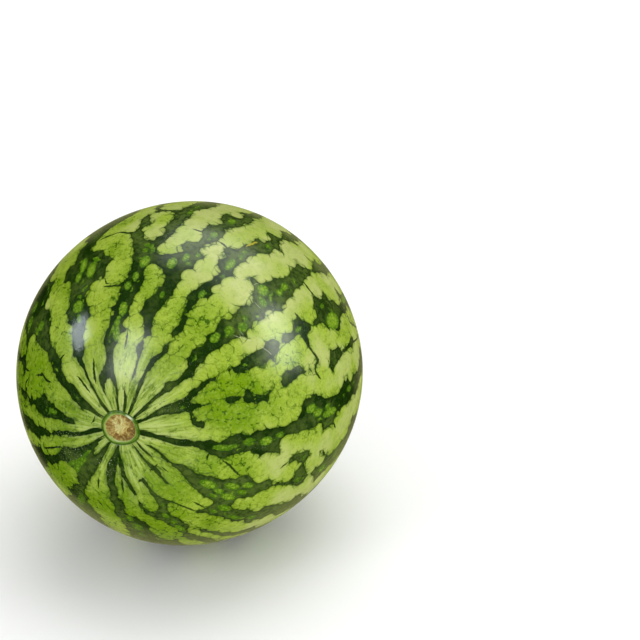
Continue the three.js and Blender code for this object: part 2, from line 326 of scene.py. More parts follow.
    "y": [(48, -65.4, -64), (50, -66.7, -62.8), (53, -65.7, -61.8), (56, -64.6, -60.6), (59, -63.6, -60)],
}
# Paler islands in the dark stripes: polar angle, bearing, half height, half width, strength
ISLANDS = [
    (86.7, 29.4, 4.3, 2.9, 1), (85, 35.5, 1.3, 1, 0.5), (42.5, 51.3, 2.1, 2.2, 0.7),
    (47.5, 49.3, 1.9, 2.4, 0.55), (51.8, 46.8, 1.9, 2.2, 0.6), (54.5, 49, 1.3, 1.5, 0.4),
    (63.3, 49, 1.4, 2.2, 0.55), (66.7, 52.3, 2.2, 2.4, 0.85), (71.2, 48, 1.5, 1.4, 0.8),
    (74.6, 48.4, 1.9, 1.4, 0.75), (21.8, 26.5, 1.2, 2.2, 0.35), (68.8, 33.8, 1.8, 1, 0.5),
    (64.5, 5.7, 2.3, 1.8, 0.8), (67.5, 3.3, 2.3, 1.5, 0.85), (72.3, 4.3, 1.5, 0.9, 0.7),
    (73.5, 1.7, 3.8, 1.6, 0.85), (82, 5, 1.4, 1, 0.3), (86, 6, 2.4, 1.3, 0.4), (90, 6.7, 2, 1, 0.3),
    (51, 68.4, 1.6, 1.4, 0.7), (66.3, 67, 2.9, 1.5, 0.8), (60.5, 66.2, 1.8, 1.3, 0.3),
    (74.3, 66.2, 1.2, 0.9, 0.5), (71.5, 66.5, 1.1, 0.9, 0.35), (84.5, 62.2, 1.5, 1.2, 0.5),
    (45.3, 83.5, 1.5, 1.4, 0.45), (57.3, 85.7, 2.4, 1.9, 0.9), (61, 81.9, 1.9, 1.2, 0.8),
    (63.4, 78.6, 1, 1, 0.7), (75, 78.4, 1.9, 1.3, 0.75), (79, 79, 1, 0.9, 0.35),
    (86.8, 77.3, 2.3, 1.3, 0.8), (30.3, 102.6, 2.6, 2.7, 0.65), (34, 102.7, 1.7, 1.9, 0.7),
    (38.6, 100.4, 2.6, 2.4, 0.85), (46.8, 100.5, 1.7, 1.9, 0.65), (50.3, 98, 1.9, 1.4, 0.8),
    (56.3, 96.4, 2.6, 2.1, 0.85), (61.3, 95.1, 1.9, 1, 0.45), (61, 98, 1.3, 1.4, 0.5),
    (63.6, 98.2, 1.2, 1.3, 0.5), (85, 91.3, 2.5, 1.3, 0.4), (91, 91.5, 3, 0.9, 0.4),
    (39.5, 126.5, 2, 1.6, 0.6), (43.9, 126.2, 2.4, 3.3, 0.8), (47.8, 125.6, 1.3, 1.3, 0.25),
    (56.6, 119.8, 3.5, 2.2, 0.9), (56, 126, 2.1, 1.7, 0.8), (60.8, 124.2, 3.7, 1.7, 0.85),
    (49.8, 150.3, 2.2, 2.8, 0.5), (59, 157, 3, 3, 0.55), (49.7, 153.8, 2, 1.6, 0.4),
    (63, 153, 2.5, 3, 0.5), (18, 158, 2, 1.5, 0.3), (27.2, -178, 2.7, 2.3, 0.5),
    (16.7, -136.7, 3.2, 2.4, 0.45), (22, -134, 4.5, 4.2, 0.5), (26.4, -131.5, 3, 2.6, 0.6),
    (26.3, -137.3, 2.5, 2.2, 0.6), (41.5, -119, 6.5, 3, 0.35), (11.5, -94.2, 2, 1.7, 0.35),
    (37.8, -90.3, 2.6, 2.6, 0.4), (43.5, -88, 3.2, 3.4, 0.4), (50.5, -89, 3, 2.4, 0.35),
    (36.3, -68.3, 1.8, 2, 0.55), (40.6, -67.4, 1.5, 1.9, 0.5), (45.2, -67.6, 3, 1.9, 0.65),
    (43.8, -47, 1.8, 1.6, 0.5), (45.7, -42.6, 2.9, 2.3, 0.6), (53, -46, 4, 1.7, 0.4),
    (60, -44, 2.3, 1.8, 0.45), (34, -32.6, 3.3, 3, 0.8), (38.4, -38.2, 2, 1.5, 0.5),
    (38.8, -34.3, 1.8, 1.9, 0.8), (43.2, -35.6, 2.9, 2.2, 0.9), (41.6, -29, 3, 2.2, 0.75),
    (46.3, -31, 1.9, 1.6, 0.8), (46.7, -26.6, 2.2, 1.8, 0.8), (51.3, -26, 1.4, 1.2, 0.2),
    (33, -7, 3.6, 2.1, 0.6), (36.7, -5.7, 2, 1.5, 0.45), (41.6, -3.5, 2.8, 3, 0.35),
    (47.4, -3.7, 2.2, 2.1, 0.95), (52.2, -1.7, 2, 1.6, 0.45), (66.3, -23.3, 2, 1.6, 0.35),
    (78.3, -21, 2.1, 1.9, 0.6), (84.3, -17.5, 2, 2, 0.4), (106, 32, 5, 1.7, 0.55),
    (59, 79.5, 1.2, 1.1, 0.35), (12, 158.7, 1.2, 1.5, 0.2),
]
# Dark lines across the light bands: half width in mm, then (polar angle, bearing) along the line
CUTS = [
    (1, (23.6, 21), (23.3, 16), (23.7, 11), (25.2, 9)), (1.6, (26.2, 11), (26.4, 8)),
    (0.8, (70, 15), (68.7, 18)),
    (1, (68.7, 18), (69.6, 19.6), (71.6, 21), (70.6, 23.5), (69.5, 27), (69.2, 31)),
    (1.6, (86, 18.8), (91, 18.9), (94.5, 19.2)), (0.8, (94.5, 19.2), (98, 18.5), (103, 18), (108, 18)),
    (0.8, (100.3, 28), (99.8, 24.7), (103, 23), (106, 21.5), (110, 20.5)),
    (0.9, (84.5, 38.5), (83.9, 41.5), (84, 45.5)), (1.1, (71.8, 34), (71.4, 38.6)),
    (0.8, (87, 60), (87, 57.3)), (0.9, (98, 49.3), (98.1, 52)),
    (1, (6.5, 84.5), (8.5, 84), (10.5, 86.5), (12.5, 89.6)), (0.8, (26.3, 95.5), (28.5, 95), (31, 95.3)),
    (0.8, (17, 83), (21, 82.6), (24, 83)), (0.9, (71.6, 71.5), (72.6, 73.5), (73, 75.5)),
    (0.8, (74.3, 82), (74.6, 85.5)), (1, (84.8, 94), (85.3, 99), (86.6, 102), (88.4, 105)),
    (0.9, (17, 128), (18.6, 126.8), (20.4, 125.3), (22, 123.8), (23.6, 122.3)),
    (0.8, (47, 104.5), (47.2, 108), (47.6, 111.5)), (0.8, (50, 112), (48.5, 111)),
    (0.9, (70.6, 105.5), (71.2, 109), (73, 112.5)), (0.8, (72.6, 113.5), (72.2, 120)),
    (0.9, (31.8, 144.3), (31.7, 150)), (0.8, (16, 141.3), (19, 141.8), (22, 142.4)),
    (0.8, (9.7, 170), (9.7, 175), (10.3, 180)), (1.1, (31, 164.3), (33.6, 165.2), (36.2, 164.2)),
    (0.9, (35.5, 164.5), (37.2, 166), (39, 167.6)), (1, (45, 170.3), (47.5, 171)),
    (0.8, (52.6, 161), (51.3, 165), (50, 168)), (0.8, (44.5, 174), (46, 177), (45.5, 181)),
    (0.8, (27, -151.4), (31, -151.6), (38, -151.8)), (0.8, (18.7, -89.6), (23.5, -89.8)),
    (0.9, (33.8, -108.6), (35.4, -106.3)), (0.8, (22.5, -112.5), (26, -110.8)),
    (1.1, (16.7, -51), (16.7, -46), (16.3, -43)), (0.9, (7.4, -34.5), (9, -37.3), (13, -37.8)),
    (1.1, (19, -70.5), (18.7, -67)), (0.9, (29.3, -60.5), (31, -57.6), (33.2, -56)),
    (0.8, (33.2, -56), (36, -54), (39, -52.7)), (0.8, (35.5, -48), (38, -47.6), (40, -47.6)),
    (0.8, (20, -40.3), (18.5, -40)), (0.8, (9.6, -25.5), (11, -24.3), (13, -24.5), (15, -26.5)),
    (0.8, (34.6, -15.3), (37, -17), (39, -19.5), (41.6, -21.8)), (0.9, (29, -15.5), (29.2, -12)),
    (0.9, (56, -16.5), (57.5, -14.5)), (0.8, (76.5, -3.2), (77.5, -4.8)),
    (1, (73.6, -12.8), (75.2, -14.2)), (0.8, (83.5, 18.3), (83.5, 20.5)),
]
# Where the light bands are a lusher or a paler green, and where the dark stripes are dusky. The paler
# patches are partly painted light, and the dusky ones partly a painted reflection of the floor. Polar
# angle, bearing, half height, half width, strength
LUSH_PATCHES = [
    (35, 22, 17, 20, 1.0), (45, 12, 10, 12, 0.5), (44, 95, 20, 20, 0.3), (60, 20, 8, 10, 0.3),
    (34, 168, 26, 22, 0.7), (24, -135, 16, 30, 0.7), (38, -172, 24, 22, 0.75), (36, -140, 16, 22, 0.75),
    (34, 64, 14, 18, 0.3), (44, -70, 26, 30, 0.45), (34, -20, 14, 20, 0.3), (54, 132, 18, 16, 0.4),
    (24, -45, 14, 24, 0.9), (30, -100, 18, 24, 0.6), (48, 78, 12, 14, 0.3),
    (17, -26, 8, 18, 0.8), (12, -105, 6, 40, 0.4), (67, 120, 12, 12, 0.35), (54, 64, 8, 10, 0.3),
]
# Partly the rind's own paler tone, partly painted light on the right and lower right, which face the lamps
PALE_AND_LIT_PATCHES = [
    (80, 68, 34, 36, 1.0), (60, 42, 18, 22, 0.5), (74, 20, 14, 16, 0.5), (72, -30, 16, 22, 0.9),
    (52, -12, 9, 12, 0.8), (70, -14, 12, 14, 0.4), (72, 102, 12, 12, 0.5), (50, 150, 16, 14, 0.6),
    (62, -48, 14, 16, 0.9), (52, 8, 9, 12, 0.5), (92, 38, 16, 16, 0.8),
    (110, 0, 40, 60, 0.4), (120, 180, 50, 90, 0.3),
]
# Partly the rind's dusky tone, partly a painted reflection of the pale floor in the lower half
DUSKY_AND_REFLECTION_PATCHES = [
    (45, -50, 44, 42, 1.0), (70, -24, 26, 30, 1.0), (90, 72, 32, 44, 1.0), (60, 48, 16, 18, 0.9),
    (24, -112, 16, 40, 0.6), (44, -104, 20, 24, 0.9), (72, 108, 16, 16, 0.9), (46, 156, 14, 14, 0.55),
    (55, 128, 14, 16, 0.4), (12, 100, 7, 70, 0.6), (17, 42, 7, 22, 0.7), (58, 32, 12, 14, 0.6),
    (66, 94, 12, 14, 0.5), (78, 22, 12, 12, 0.5),
    (130, 180, 60, 120, 0.5), (140, 0, 50, 90, 0.5),
]

# Where dust has settled in the dark stripes
DUSTY_PATCHES = [(22, -150, 9, 16, 1.0), (15, -110, 7, 14, 1.0), (13, -70, 6, 10, 0.7), (20, 30, 6, 8, 0.3)]

# A patch where the rind is smoother
POLISHED_PATCHES = [(34.5, 124, 12, 16, 1.0)]

# Thin pale scratches: half width in mm, then the line's polar angles and bearings
SCRATCHES = [
    (0.28, (53.1, 36.0), (53.9, 34.2), (54.6, 32.5), (54.9, 31.3)),
    (0.28, (47.7, 46.5), (48.7, 44.2), (49.9, 42.5), (51.1, 40.2)),
    (0.2, (50.2, 46.5), (50.2, 44.5), (50.4, 42.5)),
    (0.25, (65.4, 55.8), (67.1, 55.5)),
    (0.2, (60.9, 50.8), (60.9, 48.0)),
    (0.22, (65.1, 46.2), (65.4, 44.8)),
]

# A healed nick, and its half width
NICK = [(0.8, (77.8, 67.2), (79.8, 66.5), (82.3, 66.0))]


def smoothstep(value, low, high):
    """0 up to low, 1 from high on, and a smooth rise between"""
    share = np.clip((value - low) / (high - low), 0, 1)
    return share * share * (3 - 2 * share)


def bell(distance, width):
    return np.exp(-((distance / width) ** 2))


def inside(rho, radius, edge):
    return 1 - smoothstep(rho, radius - edge / 2, radius + edge / 2)


def stem_relief(rho):
    """Height above the plain spheroid, at a distance from the axis"""
    return (
        -STEM_DIP_DEPTH * bell(rho, STEM_DIP_RADIUS)
        - CREASE_DEPTH * bell(rho - CREASE_RADIUS, CREASE_WIDTH)
        + LIP_HEIGHT * bell(rho - LIP_RADIUS, LIP_WIDTH)
        - CORK_DEPTH * inside(rho, CORK_RADIUS, CORK_EDGE)
        + KNOB_HEIGHT * bell(rho, KNOB_RADIUS)
    )


def blossom_relief(rho):
    dip = -BLOSSOM_DIP_DEPTH * bell(rho, BLOSSOM_DIP_RADIUS)
    return dip + BUTTON_HEIGHT * inside(rho, BUTTON_RADIUS, BUTTON_EDGE)


def girth_factor(rho, height, bearing):
    """How much further from the axis than the plain spheroid the rind lies"""
    fullness = np.minimum(rho / HALF_GIRTH, 1) ** 2
    square = SQUARENESS * np.cos(SQUARE_SIDES * (bearing - SQUARE_CORNER))
    swell = SWELL * np.sin(SWELL_LOBES * bearing + SWELL_START + SWELL_TWIST * height / HALF_LENGTH)
    return 1 + fullness * (square + swell)


def from_axis(polar):
    """Distance in mm from the axis, of the plain spheroid at a polar angle"""
    return HALF_GIRTH * np.sin(np.radians(polar))


def own_place(polar, bearing, scar_rho=None, lift=0.0):
    """Points of the rind along SIDE, TOP and AXIS, with the scar's own radius and its lift"""
    rho = from_axis(polar)
    polar, bearing = np.radians(polar), np.radians(bearing)
    scar_rho = rho if scar_rho is None else scar_rho
    relief = np.where(polar < math.pi / 2, stem_relief(scar_rho) + lift, -blossom_relief(rho))
    height = HALF_LENGTH * np.cos(polar) + relief
    ring = rho * girth_factor(rho, height, bearing)
    return np.stack((ring * np.cos(bearing), ring * np.sin(bearing), height), axis=-1)


def direction(polar, bearing):
    """Which way a place on the rind faces, roughly, along SIDE, TOP and AXIS"""
    polar, bearing = np.radians(polar), np.radians(bearing)
    flat = np.sin(polar)
    return np.stack((flat * np.cos(bearing), flat * np.sin(bearing), np.cos(polar)), axis=-1)


def to_world(own):
    return own[..., :1] * SIDE + own[..., 1:2] * TOP + own[..., 2:] * AXIS


# ---------------------------------------------------------------- rows and faces of the mesh
# In the UV map the stem scar, down to this polar angle, gets this much more room than its size
SCAR_MAP_POLAR, SCAR_MAP_GAIN = 8.0, 2.0
MAP_MARGIN = 0.004


def mesh_rows():
    """Polar angle and number of points of each row, without the two poles"""
    rows, start = [], 0.0
    for end, spacing, points in ZONES:
        steps = max(1, round((end - start) * MM_PER_DEGREE / spacing))
        for step in range(1, steps + 1):
            rows.append((start + (end - start) * step / steps, points))
        start = end
    return rows


def map_height(polar):
    """Height of a polar angle in the UV map, from 0 to 1"""
    return (polar + SCAR_MAP_GAIN * min(polar, SCAR_MAP_POLAR)) / (180 + SCAR_MAP_GAIN * SCAR_MAP_POLAR)


def map_place(column, columns, polar, half):
    """Place in the UV map: the half of the fruit with bearings 0 to 180 lies under the other"""
    across = (column - half * columns / 2) / (columns / 2)
    u = MAP_MARGIN + across * (1 - 2 * MAP_MARGIN)
    v = MAP_MARGIN + map_height(polar) * (1 - 2 * MAP_MARGIN)
    return u, (half + v) / 2


def mesh_faces(rows):
    """Faces as lists of point numbers, with the place of each corner in the UV map"""
    first = np.cumsum([1] + [points for _, points in rows])
    last_pole = int(first[-1])
    faces, corners = [], []

    def add(*wanted):
        """One face, from corners given as (row, column), or (None, number) for a pole"""
        face, places = [], []
        middle = sum(w[1] / rows[w[0]][1] for w in wanted if w[0] is not None)
        middle /= sum(w[0] is not None for w in wanted)
        half = int(middle * 2)
        for row, column in wanted:
            if row is None:
                face.append(column)
                polar = 0.0 if column == 0 else 180.0
                places.append(map_place(middle, 1, polar, half))
                continue
            polar, points = rows[row]
            face.append(int(first[row]) + column % points)
            places.append(map_place(column, points, polar, half))
        faces.append(face)
        corners.extend(places)

    for column in range(rows[0][1]):
        add((None, 0), (0, column), (0, column + 1))
    for row in range(len(rows) - 1):
        points, below = rows[row][1], rows[row + 1][1]
        for column in range(min(points, below)):
            if points == below:
                add((row, column), (row + 1, column), (row + 1, column + 1), (row, column + 1))
            elif points < below:
                add((row, column), (row + 1, 2 * column), (row + 1, 2 * column + 1))
                add((row, column), (row + 1, 2 * column + 1), (row, column + 1))
                add((row, column + 1), (row + 1, 2 * column + 1), (row + 1, 2 * column + 2))
            else:
                add((row + 1, column), (row, 2 * column + 1), (row, 2 * column))
                add((row + 1, column), (row + 1, column + 1), (row, 2 * column + 1))
                add((row + 1, column + 1), (row, 2 * column + 2), (row, 2 * column + 1))
    end = len(rows) - 1
    for column in range(rows[end][1]):
        add((end, column + 1), (end, column), (None, last_pole))
    return faces, corners


# ---------------------------------------------------------------- stripes as distance fields
CREASE_POLAR = 6.2            # degrees, where the stripes meet the crease round the stem scar
CREASE_OVERLAP = 3.0          # degrees by which a band that reaches the crease runs on under it
FIELD_REACH = 14.0            # mm from an edge beyond which its distance isn't needed
LINE_TIP, LINE_TAPER = 0.35, 2.2             # share of a line's width at its ends; mm to its full width
FADE_START, FADE_END = 0.45, 1.25            # a patch fades out between these shares of its size
FADE_REACH = 1.5              # share of a patch's size beyond which it isn't worked out
TINY = 1e-9                   # in place of the square of a length that is nothing


def near(bearing, middle):
    """The same bearing, counted to lie within 180 degrees of the middle one"""
    return (bearing - middle + 180) % 360 - 180 + middle


def band_outline(rows):
    """The rounded outline of a light band, a curve through its rows' ends, as polar angles and
    bearings"""
    if rows[0][0] == CREASE_POLAR:
        rows = [(CREASE_POLAR - CREASE_OVERLAP, rows[0][1], rows[0][2])] + rows
    left = [(polar, low) for polar, low, _ in rows]
    right = [(polar, high) for polar, _, high in rows]
    points = np.array(left + right[::-1], float)
    ahead, behind = np.roll(points, -1, 0), np.roll(points, 1, 0)
    further = np.roll(points, -2, 0)
    steps = []
    for t in (0.0, 1 / 3, 2 / 3):
        steps.append(0.5 * (
            2 * points + (ahead - behind) * t
            + (2 * behind - 5 * points + 4 * ahead - further) * t ** 2
            + (3 * points - behind - 3 * ahead + further) * t ** 3
        ))
    return np.stack(steps, 1).reshape(-1, 2)


def line_distance(places, points):
    """Distance in mm from each place to a line through points given as polar angle and bearing,
    and the side of the line on which the place lies, as 1 or -1"""
    nearest, side = np.full(len(places), np.inf), np.ones(len(places))
    ends = own_place(points[:, 0], points[:, 1])
    for start, end in zip(ends[:-1], ends[1:]):
        along = end - start
        share = np.clip((places - start) @ along / max(along @ along, TINY), 0, 1)
        gap = places - start - share[:, None] * along
        squared = np.einsum("ij,ij->i", gap, gap)
        closer = squared < nearest
        nearest[closer] = squared[closer]
        side[closer] = np.sign(gap[closer] @ np.cross(start, along))
    return np.sqrt(nearest), side


def is_within(polar, bearing, outline):
    """Which points lie inside a closed outline on the map of polar angle and bearing"""
    found = np.zeros(len(polar), bool)
    for (polar_a, bearing_a), (polar_b, bearing_b) in zip(outline, np.roll(outline, -1, 0)):
        if polar_a == polar_b:
            continue
        crossed = (polar_a > polar) != (polar_b > polar)
        meets = bearing_a + (polar - polar_a) * (bearing_b - bearing_a) / (polar_b - polar_a)
        found ^= crossed & (bearing < meets)
    return found


def near_places(places, points, reach):
    """Numbers of the places within reach of the box round the given points"""
    ends = own_place(points[:, 0], points[:, 1])
    low, high = ends.min(0) - reach, ends.max(0) + reach
    return np.nonzero(((places > low) & (places < high)).all(1))[0]


def light_field(polar, bearing, bands):
    """Distance in mm to the nearest edge of a light band: positive inside, negative outside"""
    places = own_place(polar, bearing)
    field = np.full(len(polar), -FIELD_REACH)
    for rows in bands:
        outline = band_outline(rows)
        chosen = near_places(places, outline, FIELD_REACH)
        closed = np.vstack((outline, outline[:1]))
        distance, _ = line_distance(places[chosen], closed)
        turned = near(bearing[chosen], outline[:, 1].mean())
        within = is_within(polar[chosen], turned, outline)
        field[chosen] = np.maximum(field[chosen], np.where(within, distance, -distance))
    return field


def line_fields(polar, bearing, lines):
    """Distance in mm to the nearest of some lines, and the same in half widths, signed by side,
    which passes through zero along the line and so keeps it sharp between the mesh's points"""
    places = own_place(polar, bearing)
    nearest, signed = np.full(len(polar), FIELD_REACH), np.full(len(polar), FIELD_REACH)
    for half_width, *points in lines:
        line = np.array(points, float)
        chosen = near_places(places, line, FIELD_REACH)
        distance, side = line_distance(places[chosen], line)
        ends = own_place(line[[0, -1], 0], line[[0, -1], 1])
        from_end = np.linalg.norm(places[chosen][:, None] - ends[None], axis=2).min(1)
        width = half_width * (LINE_TIP + (1 - LINE_TIP) * smoothstep(from_end, 0, LINE_TAPER))
        closer = distance < nearest[chosen]
        nearest[chosen[closer]] = distance[closer]
        signed[chosen[closer]] = (distance * side / width)[closer]
    return nearest, signed


def patch_field(polar, bearing, patches):
    """How strongly soft round patches show, from 0 to 1"""
    field = np.zeros(len(polar))
    for polar_0, bearing_0, half_height, half_width, strength in patches:
        chosen = np.nonzero(abs(polar - polar_0) < FADE_REACH * half_height)[0]
        down = (polar[chosen] - polar_0) / half_height
        across = (near(bearing[chosen], bearing_0) - bearing_0) / half_width
        shown = strength * (1 - smoothstep(np.hypot(down, across), FADE_START, FADE_END))
        field[chosen] = np.maximum(field[chosen], shown)
    return field


# ---------------------------------------------------------------- the side nobody photographed
PHOTO_POLAR, PHOTO_BEARING = 27.5, 47.8      # the rind that faces the photograph's camera
HIDDEN_FACING = 0.02          # cosine of the angle to it, below which the rind counts as hidden
BLOSSOM_EDGE_POLAR = 172.0
HIDDEN_ROW_STEP = (2.2, 4.4)  # degrees
SETTLE_POLAR = 38.0           # degrees in which a band reaches its bearing at the blossom end
BAND_PITCH = 18.0             # degrees from one band to the next
LIGHT_SHARE = (0.50, 0.74)    # of the pitch
LIGHT_WAVE, WAVE_POLAR = 0.18, 9             # share by which it waves; degrees to a radian of it
FULL_TURN = 6.28              # radians, up to which the wave's start is drawn
EDGE_ROUGHNESS = 2.6          # mm
ROUGH_START, ROUGH_RISE = 0.1, 8             # the least share of it; degrees in which it sets in
DRIFT_KEPT = 0.6              # share of a band's drift that is left one row on
NARROWEST = 0.5               # mm, half the least width of a band
SMALLEST_RING = 0.05          # share of the girth, so that no ring of the fruit is nothing
# A band may break after this many rows, up to this polar angle. It ends in a tip this many
# degrees long and this share as wide, and starts again after a gap in degrees.
BREAK_CHANCE, BREAK_ROWS, BREAK_POLAR = 0.07, 4, 160
BREAK_TIP, BREAK_TAPER, BREAK_GAP = 1.0, 0.3, 2.6
ISLAND_TRIES, ISLAND_POLAR = 900, (50, 172)
# Millimetres from its middle to the nearest band, from its edge to the band, and its half width
ISLAND_ROOM, ISLAND_MARGIN, ISLAND_LARGEST = 3.2, 0.8, 5.0
ISLAND_SHARE, ISLAND_STRETCH, ISLAND_STRENGTH = (0.7, 1.0), (1.0, 1.6), (0.3, 0.95)
# The bands that are carried on to the blossom end, with their bearings there
BLOSSOM_BEARINGS = {
    "y": -61, "s": -43, "w": -25, "u": -6, "a lower": 13, "b foot": 29, "c": 44, "d": 61,
    "e": 77, "f lower": 94, "g lower": 110, "h lower": 127, "i": 146, "k lower": 165,
    "k side": 182, "l": 199, "m lower": 215, "n lower": 233, "o": 256, "x lower": 278,
}


def hidden_rows(last, goal, draw):
    """Carries a light band on to the blossom end, from its last row given: a list of bands"""
    polar_0, left, right = last
    middle_0 = (left + right) / 2
    half_0 = (right - left) / 2 * MM_PER_DEGREE * math.sin(math.radians(polar_0))
    bands, rows, polar = [], [], polar_0
    drift, wave = 0.0, draw.uniform(0, FULL_TURN)
    while polar < BLOSSOM_EDGE_POLAR:
        polar += draw.uniform(*HIDDEN_ROW_STEP)
        width = MM_PER_DEGREE * max(math.sin(math.radians(polar)), SMALLEST_RING)
        settled = float(smoothstep(polar, polar_0, polar_0 + SETTLE_POLAR))
        share = draw.uniform(*LIGHT_SHARE) * (1 + LIGHT_WAVE * math.sin(polar / WAVE_POLAR + wave))
        half = (1 - settled) * half_0 + settled * share * width * BAND_PITCH / 2
        rough = min(1.0, width / MM_PER_DEGREE + ROUGH_START) * EDGE_ROUGHNESS
        rough *= min(1, (polar - polar_0) / ROUGH_RISE)
        drift = DRIFT_KEPT * drift + draw.uniform(-1, 1) * rough
        middle = near(middle_0, goal) * (1 - settled) + goal * settled + drift / width
        left = middle - max(half + draw.uniform(-1, 1) * rough, NARROWEST) / width
        right = middle + max(half + draw.uniform(-1, 1) * rough, NARROWEST) / width
        rows.append((polar, left, right))
        if len(rows) > BREAK_ROWS and draw.random() < BREAK_CHANCE and polar < BREAK_POLAR:
            tip = BREAK_TAPER * half / width
            rows.append((polar + BREAK_TIP, middle - tip, middle + tip))
            bands.append(rows)
            rows = []
            polar += BREAK_GAP
    bands.append(rows)
    return [band for band in bands if len(band) > 1]


def all_bands(draw):
    """The light bands, with those that reach the hidden side carried on to the blossom end"""
    bands = []
    for name, rows in BANDS.items():
        if name in BLOSSOM_BEARINGS:
            goal = near(BLOSSOM_BEARINGS[name], rows[-1][1])
            first, *others = hidden_rows(rows[-1], goal, draw)
            bands.append(rows + first)
            bands.extend(others)
        else:
            bands.append(rows)
    return bands


def hidden_islands(bands, draw):
    """Islands in the dark stripes of the hidden side, where there is room for them"""
    polar = np.array([draw.uniform(*ISLAND_POLAR) for _ in range(ISLAND_TRIES)])
    bearing = np.array([draw.uniform(-180, 180) for _ in range(ISLAND_TRIES)])
    facing = direction(polar, bearing) @ direction(PHOTO_POLAR, PHOTO_BEARING)
    room = -light_field(polar, bearing, bands)
    chosen = []
    for number in np.nonzero((facing < HIDDEN_FACING) & (room > ISLAND_ROOM))[0]:
        width = MM_PER_DEGREE * math.sin(math.radians(polar[number]))
        size = min(room[number] - ISLAND_MARGIN, ISLAND_LARGEST) * draw.uniform(*ISLAND_SHARE)
        half_height = draw.uniform(*ISLAND_STRETCH) * size / MM_PER_DEGREE
        strength = draw.uniform(*ISLAND_STRENGTH)
        chosen.append((polar[number], bearing[number], half_height, size / width, strength))
    return chosen


# ---------------------------------------------------------------- the fine mesh
# The crumpled cork, in mm: folds and finer folds, shifted by a noise, each as high as 1 less its
# noise times a sharpness
CRUMPLE_HEIGHT, CRUMPLE_LEVEL = 1.1, 0.45
CRUMPLE_SIZE, CRUMPLE_LAYER = 3.4, 3.7       # the layer is the noise's third coordinate
SHIFT_SCALE, SHIFT_REACH = 0.8, 0.55
SHIFT_SEED = 1795486025       # any whole number; without one, Blender takes the clock's
FOLD_SHARPNESS, FOLD_SHARE = 2.4, 0.68
FINE_SCALE, FINE_SHARPNESS, FINE_SHARE = 2.3, 2.2, 0.32
# The cork is pale on its folds and in a patch, partly its cream tone and partly a painted highlight, and on
# a small chip
FOLD_HIGHLIGHT_PALE, PALE_LEVEL = 0.66, 0.3
PATCH_MIDDLE, PATCH_FADE, PATCH_HIGHLIGHT_PALE = (-2.2, 2.0), (2.8, 7.8), 0.55
CHIP_MIDDLE, CHIP_STRETCH, CHIP_RADIUS, CHIP_PALE = (-1.9, -0.6), 1.3, 1.3, 0.5
# The scar's outline: its rim wobbles, and its cork sits off the middle of its lip
SCAR_SPREAD, SCAR_FLATNESS = 0.967, 0.85
RIM_WOBBLE, RIM_WAVES, RIM_LAYER = 0.1, 1.3, 8.1
CORK_MIDDLE, LIP_MIDDLE = (0.5, 0.6), (-0.9, 0.0)
SCAR_BLEND = (8.5, 10.5)      # mm from the axis, from cork to lip
SCAR_REACH = (8.0, 11.0)      # degrees over which the scar's own shape fades out
CRUMPLE_RADIUS, CRUMPLE_FADE = 8.6, 2.4      # mm, where the folds fade out, and over how much
FAR_RHO = 100.0               # mm, in place of a distance that doesn't matter
SPOT_EDGE = 0.3               # mm, how softly the rind turns into its flat rest spot
MEAN_LUSH = 0.45              # how lush the light bands are outside the patches


def crumpled(x, y):
    """Height in mm of the cork's crumpled folds, and how pale the cork is there, from 0 to 1: partly its
    cream tone, partly a painted highlight on the raised folds
    """
    spot = Vector((x / CRUMPLE_SIZE, y / CRUMPLE_SIZE, CRUMPLE_LAYER))
    shift = noise.noise_vector(spot * SHIFT_SCALE) * SHIFT_REACH
    folds = 1 - abs(noise.noise(spot + shift)) * FOLD_SHARPNESS
    fine = 1 - abs(noise.noise(spot * FINE_SCALE + shift)) * FINE_SHARPNESS
    height = FOLD_SHARE * folds + FINE_SHARE * fine
    patch = 1 - float(smoothstep(math.hypot(x - PATCH_MIDDLE[0], y - PATCH_MIDDLE[1]), *PATCH_FADE))
    from_chip = math.hypot(x - CHIP_MIDDLE[0], (y - CHIP_MIDDLE[1]) * CHIP_STRETCH)
    chip = math.exp(-(from_chip / CHIP_RADIUS) ** 2)
    # Paler the higher the fold: partly a painted highlight
    pale = FOLD_HIGHLIGHT_PALE * height + PATCH_HIGHLIGHT_PALE * patch - PALE_LEVEL + CHIP_PALE * chip
    return height - CRUMPLE_LEVEL, min(pale, 1.0)


def distance_in_scar(x, y):
    """Distance in mm from the middle of the stem scar, as if it were round: it is a little flat,
    and its cork sits off the middle of its lip"""
    outside = float(smoothstep(math.hypot(x, y), *SCAR_BLEND))
    middle = Vector(CORK_MIDDLE).lerp(Vector(LIP_MIDDLE), outside)
    across, up = x - middle.x, (y - middle.y) / SCAR_FLATNESS
    spot = Vector((across, up, 0)).normalized() * RIM_WAVES
    wobble = RIM_WOBBLE * noise.noise(spot + Vector((0, 0, RIM_LAYER)))
    return math.hypot(across, up) * (SCAR_SPREAD - wobble)


def scar_details(polar, bearing):
    """The scar's own radius in mm, the lift of its crumpled cork and the cork's paleness"""
    rho = from_axis(polar)
    scar_rho, lift, pale = rho.copy(), np.zeros(len(polar)), np.zeros(len(polar))
    for number in np.nonzero(polar < SCAR_REACH[1])[0]:
        angle = math.radians(bearing[number])
        x, y = rho[number] * math.cos(angle), rho[number] * math.sin(angle)
        within = float(smoothstep(polar[number], *SCAR_REACH))
        scar_rho[number] = distance_in_scar(x, y) * (1 - within) + rho[number] * within
        height, pale[number] = crumpled(x, y)
        lift[number] = CRUMPLE_HEIGHT * height * inside(scar_rho[number], CRUMPLE_RADIUS, CRUMPLE_FADE)
    scar_rho[polar > 90] = FAR_RHO
    return scar_rho, lift, pale


